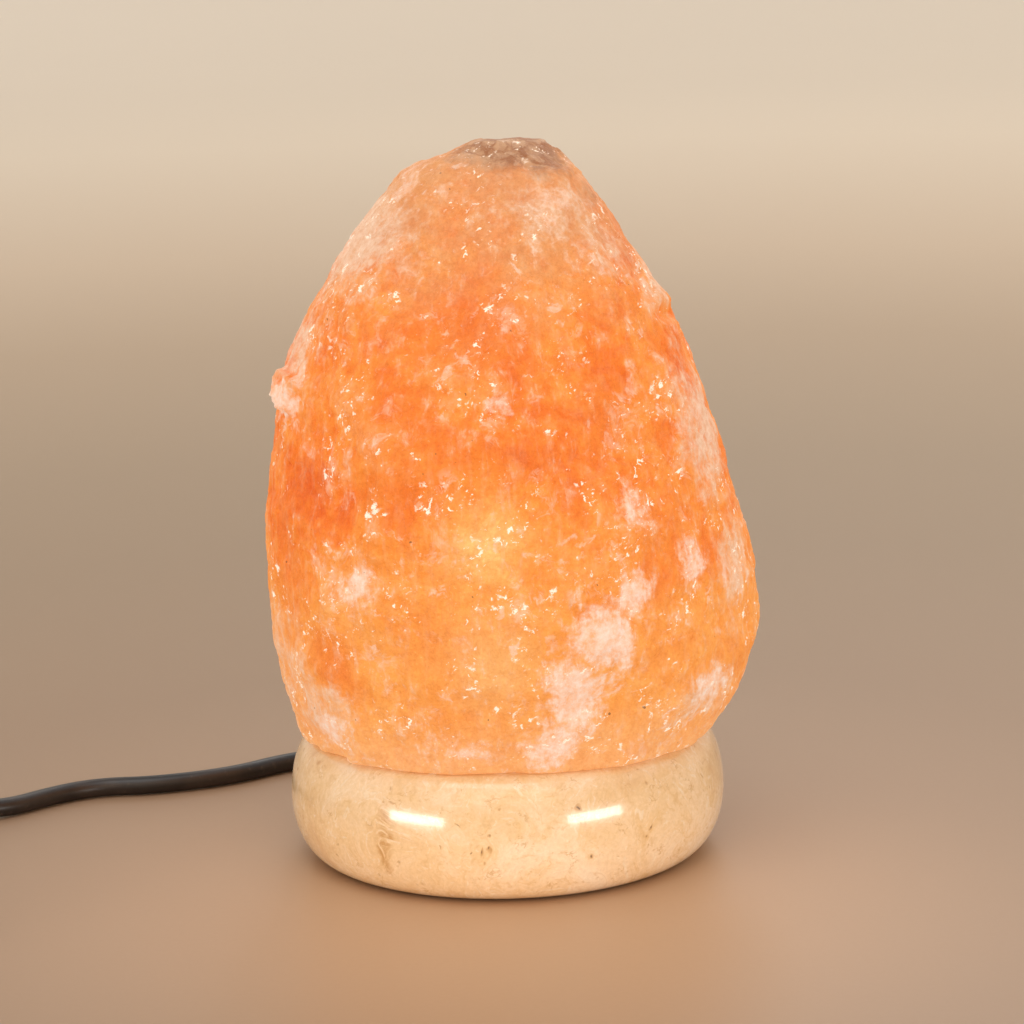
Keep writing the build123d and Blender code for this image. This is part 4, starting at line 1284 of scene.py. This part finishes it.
@dataclass
class CoilStrap:
    """The hook-and-loop strap round the coil."""

    rounding: float = 0.18

    def build(self) -> None:
        """Builds the strap and dresses it."""
        strap = copy_of("coil_tie", "coil_strap")
        soften = strap.modifiers.new("soften", "BEVEL")
        soften.width = self.rounding * MM
        soften.segments = 2
        soften.limit_method = "ANGLE"
        soften.angle_limit = math.radians(50)
        apply_modifiers(strap)
        strap.data.shade_smooth()
        strap.data.set_sharp_from_angle(angle=math.radians(50))
        dress(strap, Pressed("tie_fabric", (30, 29, 28), 0.6).material(), "tie_fabric",
              LAMP, "coil_tie")


# ---------------------------------------------------------------- the frame's own pieces
FINISHES = (
    Metal("zinc_steel", (190, 190, 186), 0.34),
    Moulded("grey_nylon", (150, 150, 148), 0.5),
    Moulded("white_nylon", (232, 232, 224), 0.45),
    Moulded("black_bakelite", (20, 18, 17), 0.22, coat=0.3),
    Moulded("porcelain", (236, 233, 222), 0.38, 0.8),
    Metal("brass", (214, 170, 92), 0.28, 0.35),
    Metal("spring_steel", (160, 162, 166), 0.24),
    Metal("solder", (150, 150, 152), 0.48),
    Moulded("black_glass", (14, 13, 18), 0.12, coat=0.6),
    Metal("nickel", (205, 200, 190), 0.2, 0.12),
    Glass("clear_glass", (255, 252, 246)),
    Glass("stem_glass", (250, 250, 246), 0.08),
    HotWire("hot_tungsten"),
    Moulded("brown_insulation", (92, 52, 30), 0.42),
    Moulded("blue_insulation", (30, 84, 168), 0.42),
    Moulded("cord_moulding", (30, 28, 27), 0.42, 0.4),
    Moulded("pin_insulation", (30, 30, 30), 0.36),
    Moulded("switch_plastic", (34, 32, 31), 0.46, 0.35, 0.00006),
    Moulded("rocker_plastic", (26, 25, 24), 0.25, 0.5, 0.00001, coat=0.2),
)


def dress_frame_pieces() -> None:
    """Gives each of the frame's pieces that still shows the finish of its slot."""
    made = {finish.name: finish.material() for finish in FINISHES}
    for row in frame["record"]["subparts"]:
        piece, slot = frame["nodes"][row["node"]], row["material_slot"]
        if not piece.hide_render:
            piece.data.materials.clear()
            piece.data.materials.append(made[slot])
            log.info("%s: %s", piece.name, slot)


# ---------------------------------------------------------------- the studio
@dataclass
class Studio:
    """The sweep of paper, the lights and the camera."""

    flat_radius: float = 2.2
    curve_radius: float = 1.5
    wall_top: float = 1.9
    target: tuple[float, float, float] = (0.0, 0.0, 0.1)
    distance: float = 1.0
    pitch: float = 11.75
    roll: float = -1.58
    focal_share: float = 3656 / 1024
    axis_right: float = (512 - 499.6) / 1024
    axis_down: float = (512 - 493.2) / 1024

    def sweep(self) -> None:
        """A round floor that curves up into a wall on every side."""
        work = bmesh.new()
        outline = [(0.0, 0.0), (0.3, 0.0), (0.8, 0.0), (self.flat_radius, 0.0)]
        for step in range(1, 13):
            angle = math.pi / 2 * step / 12
            outline.append((
                self.flat_radius + self.curve_radius * math.sin(angle),
                self.curve_radius * (1 - math.cos(angle)),
            ))
        outline.append((self.flat_radius + self.curve_radius, self.wall_top))
        line = [work.verts.new((x, 0.0, z)) for x, z in outline]
        edges = [work.edges.new(pair) for pair in zip(line, line[1:])]
        bmesh.ops.spin(work, geom=line + edges, cent=(0, 0, 0), axis=(0, 0, 1),
                       angle=2 * math.pi, steps=96, use_merge=True)
        bmesh.ops.remove_doubles(work, verts=work.verts, dist=0.0001)
        bmesh.ops.recalc_face_normals(work, faces=work.faces)
        floor = from_bmesh("paper_sweep", work, None)
        floor.data.materials.append(Sweep().material())
        floor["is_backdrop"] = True

    def softbox(self, name: str, azimuth: float, height: float, away: float, size: tuple,
                power: float, colour: tuple) -> None:
        """One soft light that faces the lamp.

        Args:
            name: its name.
            azimuth: degrees round from the front, towards the right.
            height: its height in metres.
            away: its distance along the floor in metres.
            size: its width and height in metres.
            power: in watts.
            colour: its colour, linear.
        """
        light = bpy.data.lights.new(name, "AREA")
        light.shape = "RECTANGLE"
        light.size, light.size_y = size
        light.energy = power
        light.color = colour
        lamp = new_object(name, light)
        angle = math.radians(azimuth)
        lamp.location = (away * math.sin(angle), -away * math.cos(angle), height)
        facing = Vector((0.0, 0.0, 0.08)) - lamp.location
        lamp.rotation_euler = facing.to_track_quat("-Z", "Y").to_euler()
        lamp.visible_camera = False

    def camera(self) -> None:
        """The camera, where the photograph was taken from."""
        lens = bpy.data.cameras.new("camera")
        eye = new_object("camera", lens)
        lens.sensor_width = 36.0
        lens.lens = lens.sensor_width * self.focal_share
        lens.shift_x = self.axis_right
        lens.shift_y = -self.axis_down
        pitch = math.radians(self.pitch)
        back = Vector((0.0, -math.cos(pitch), math.sin(pitch)))
        eye.rotation_mode = "QUATERNION"
        turn = (-back).to_track_quat("-Z", "Y").to_matrix()
        turn = turn @ Matrix.Rotation(math.radians(self.roll), 3, "Z")
        eye.rotation_quaternion = turn.to_quaternion()
        eye.location = Vector(self.target) + back * self.distance
        lens.clip_start, lens.clip_end = 0.05, 50.0
        bpy.context.scene.camera = eye

    def world(self) -> None:
        """The plain pale light all round."""
        sky = bpy.data.worlds.new("studio")
        bpy.context.scene.world = sky
        sky.use_nodes = True
        graph = Graph("studio", sky.node_tree)
        glow = graph.add("Background", {}, {"Color": (1.0, 0.965, 0.93, 1.0), "Strength": 0.75})
        graph.add_output(glow, "World")

    def build(self) -> None:
        """Builds the studio."""
        self.camera()
        self.sweep()
        self.softbox("left_softbox", -48, 0.09, 1.5, (0.80, 0.24), 9.5, (1.0, 0.97, 0.94))
        self.softbox("right_softbox", 45, 0.09, 1.5, (0.80, 0.24), 9.5, (1.0, 0.97, 0.94))
        self.softbox("glow_on_table", 0, 0.50, 0.60, (0.60, 0.40), 0.85, (1.0, 0.62, 0.36))
        self.softbox("top_softbox", -20, 2.2, 0.6, (1.4, 1.4), 13.0, (1.0, 0.98, 0.96))
        self.softbox("back_softbox", 165, 1.4, 1.8, (1.0, 0.7), 6.0, (1.0, 0.97, 0.94))
        self.world()
        bpy.context.scene.view_settings.view_transform = "Standard"


def corners(box: tuple) -> list[list[float]]:
    """A box's two corners as plain lists of numbers."""
    return [[round(float(part), 6) for part in corner] for corner in box]


def main(cad_box: list[list[float]]) -> None:
    """Builds the lamp's pieces in order.

    Args:
        cad_box: the frame's box, as lists, not used.
    """
    Studio().build()
    CoilStrap().build()
    MainsCord().build()
    SaltCrystal().build()
    StoneBase().build()
    dress_frame_pieces()


if __name__ == "__main__":
    logging.basicConfig(level=logging.INFO, format="%(name)s: %(message)s")
    main(corners(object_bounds()))
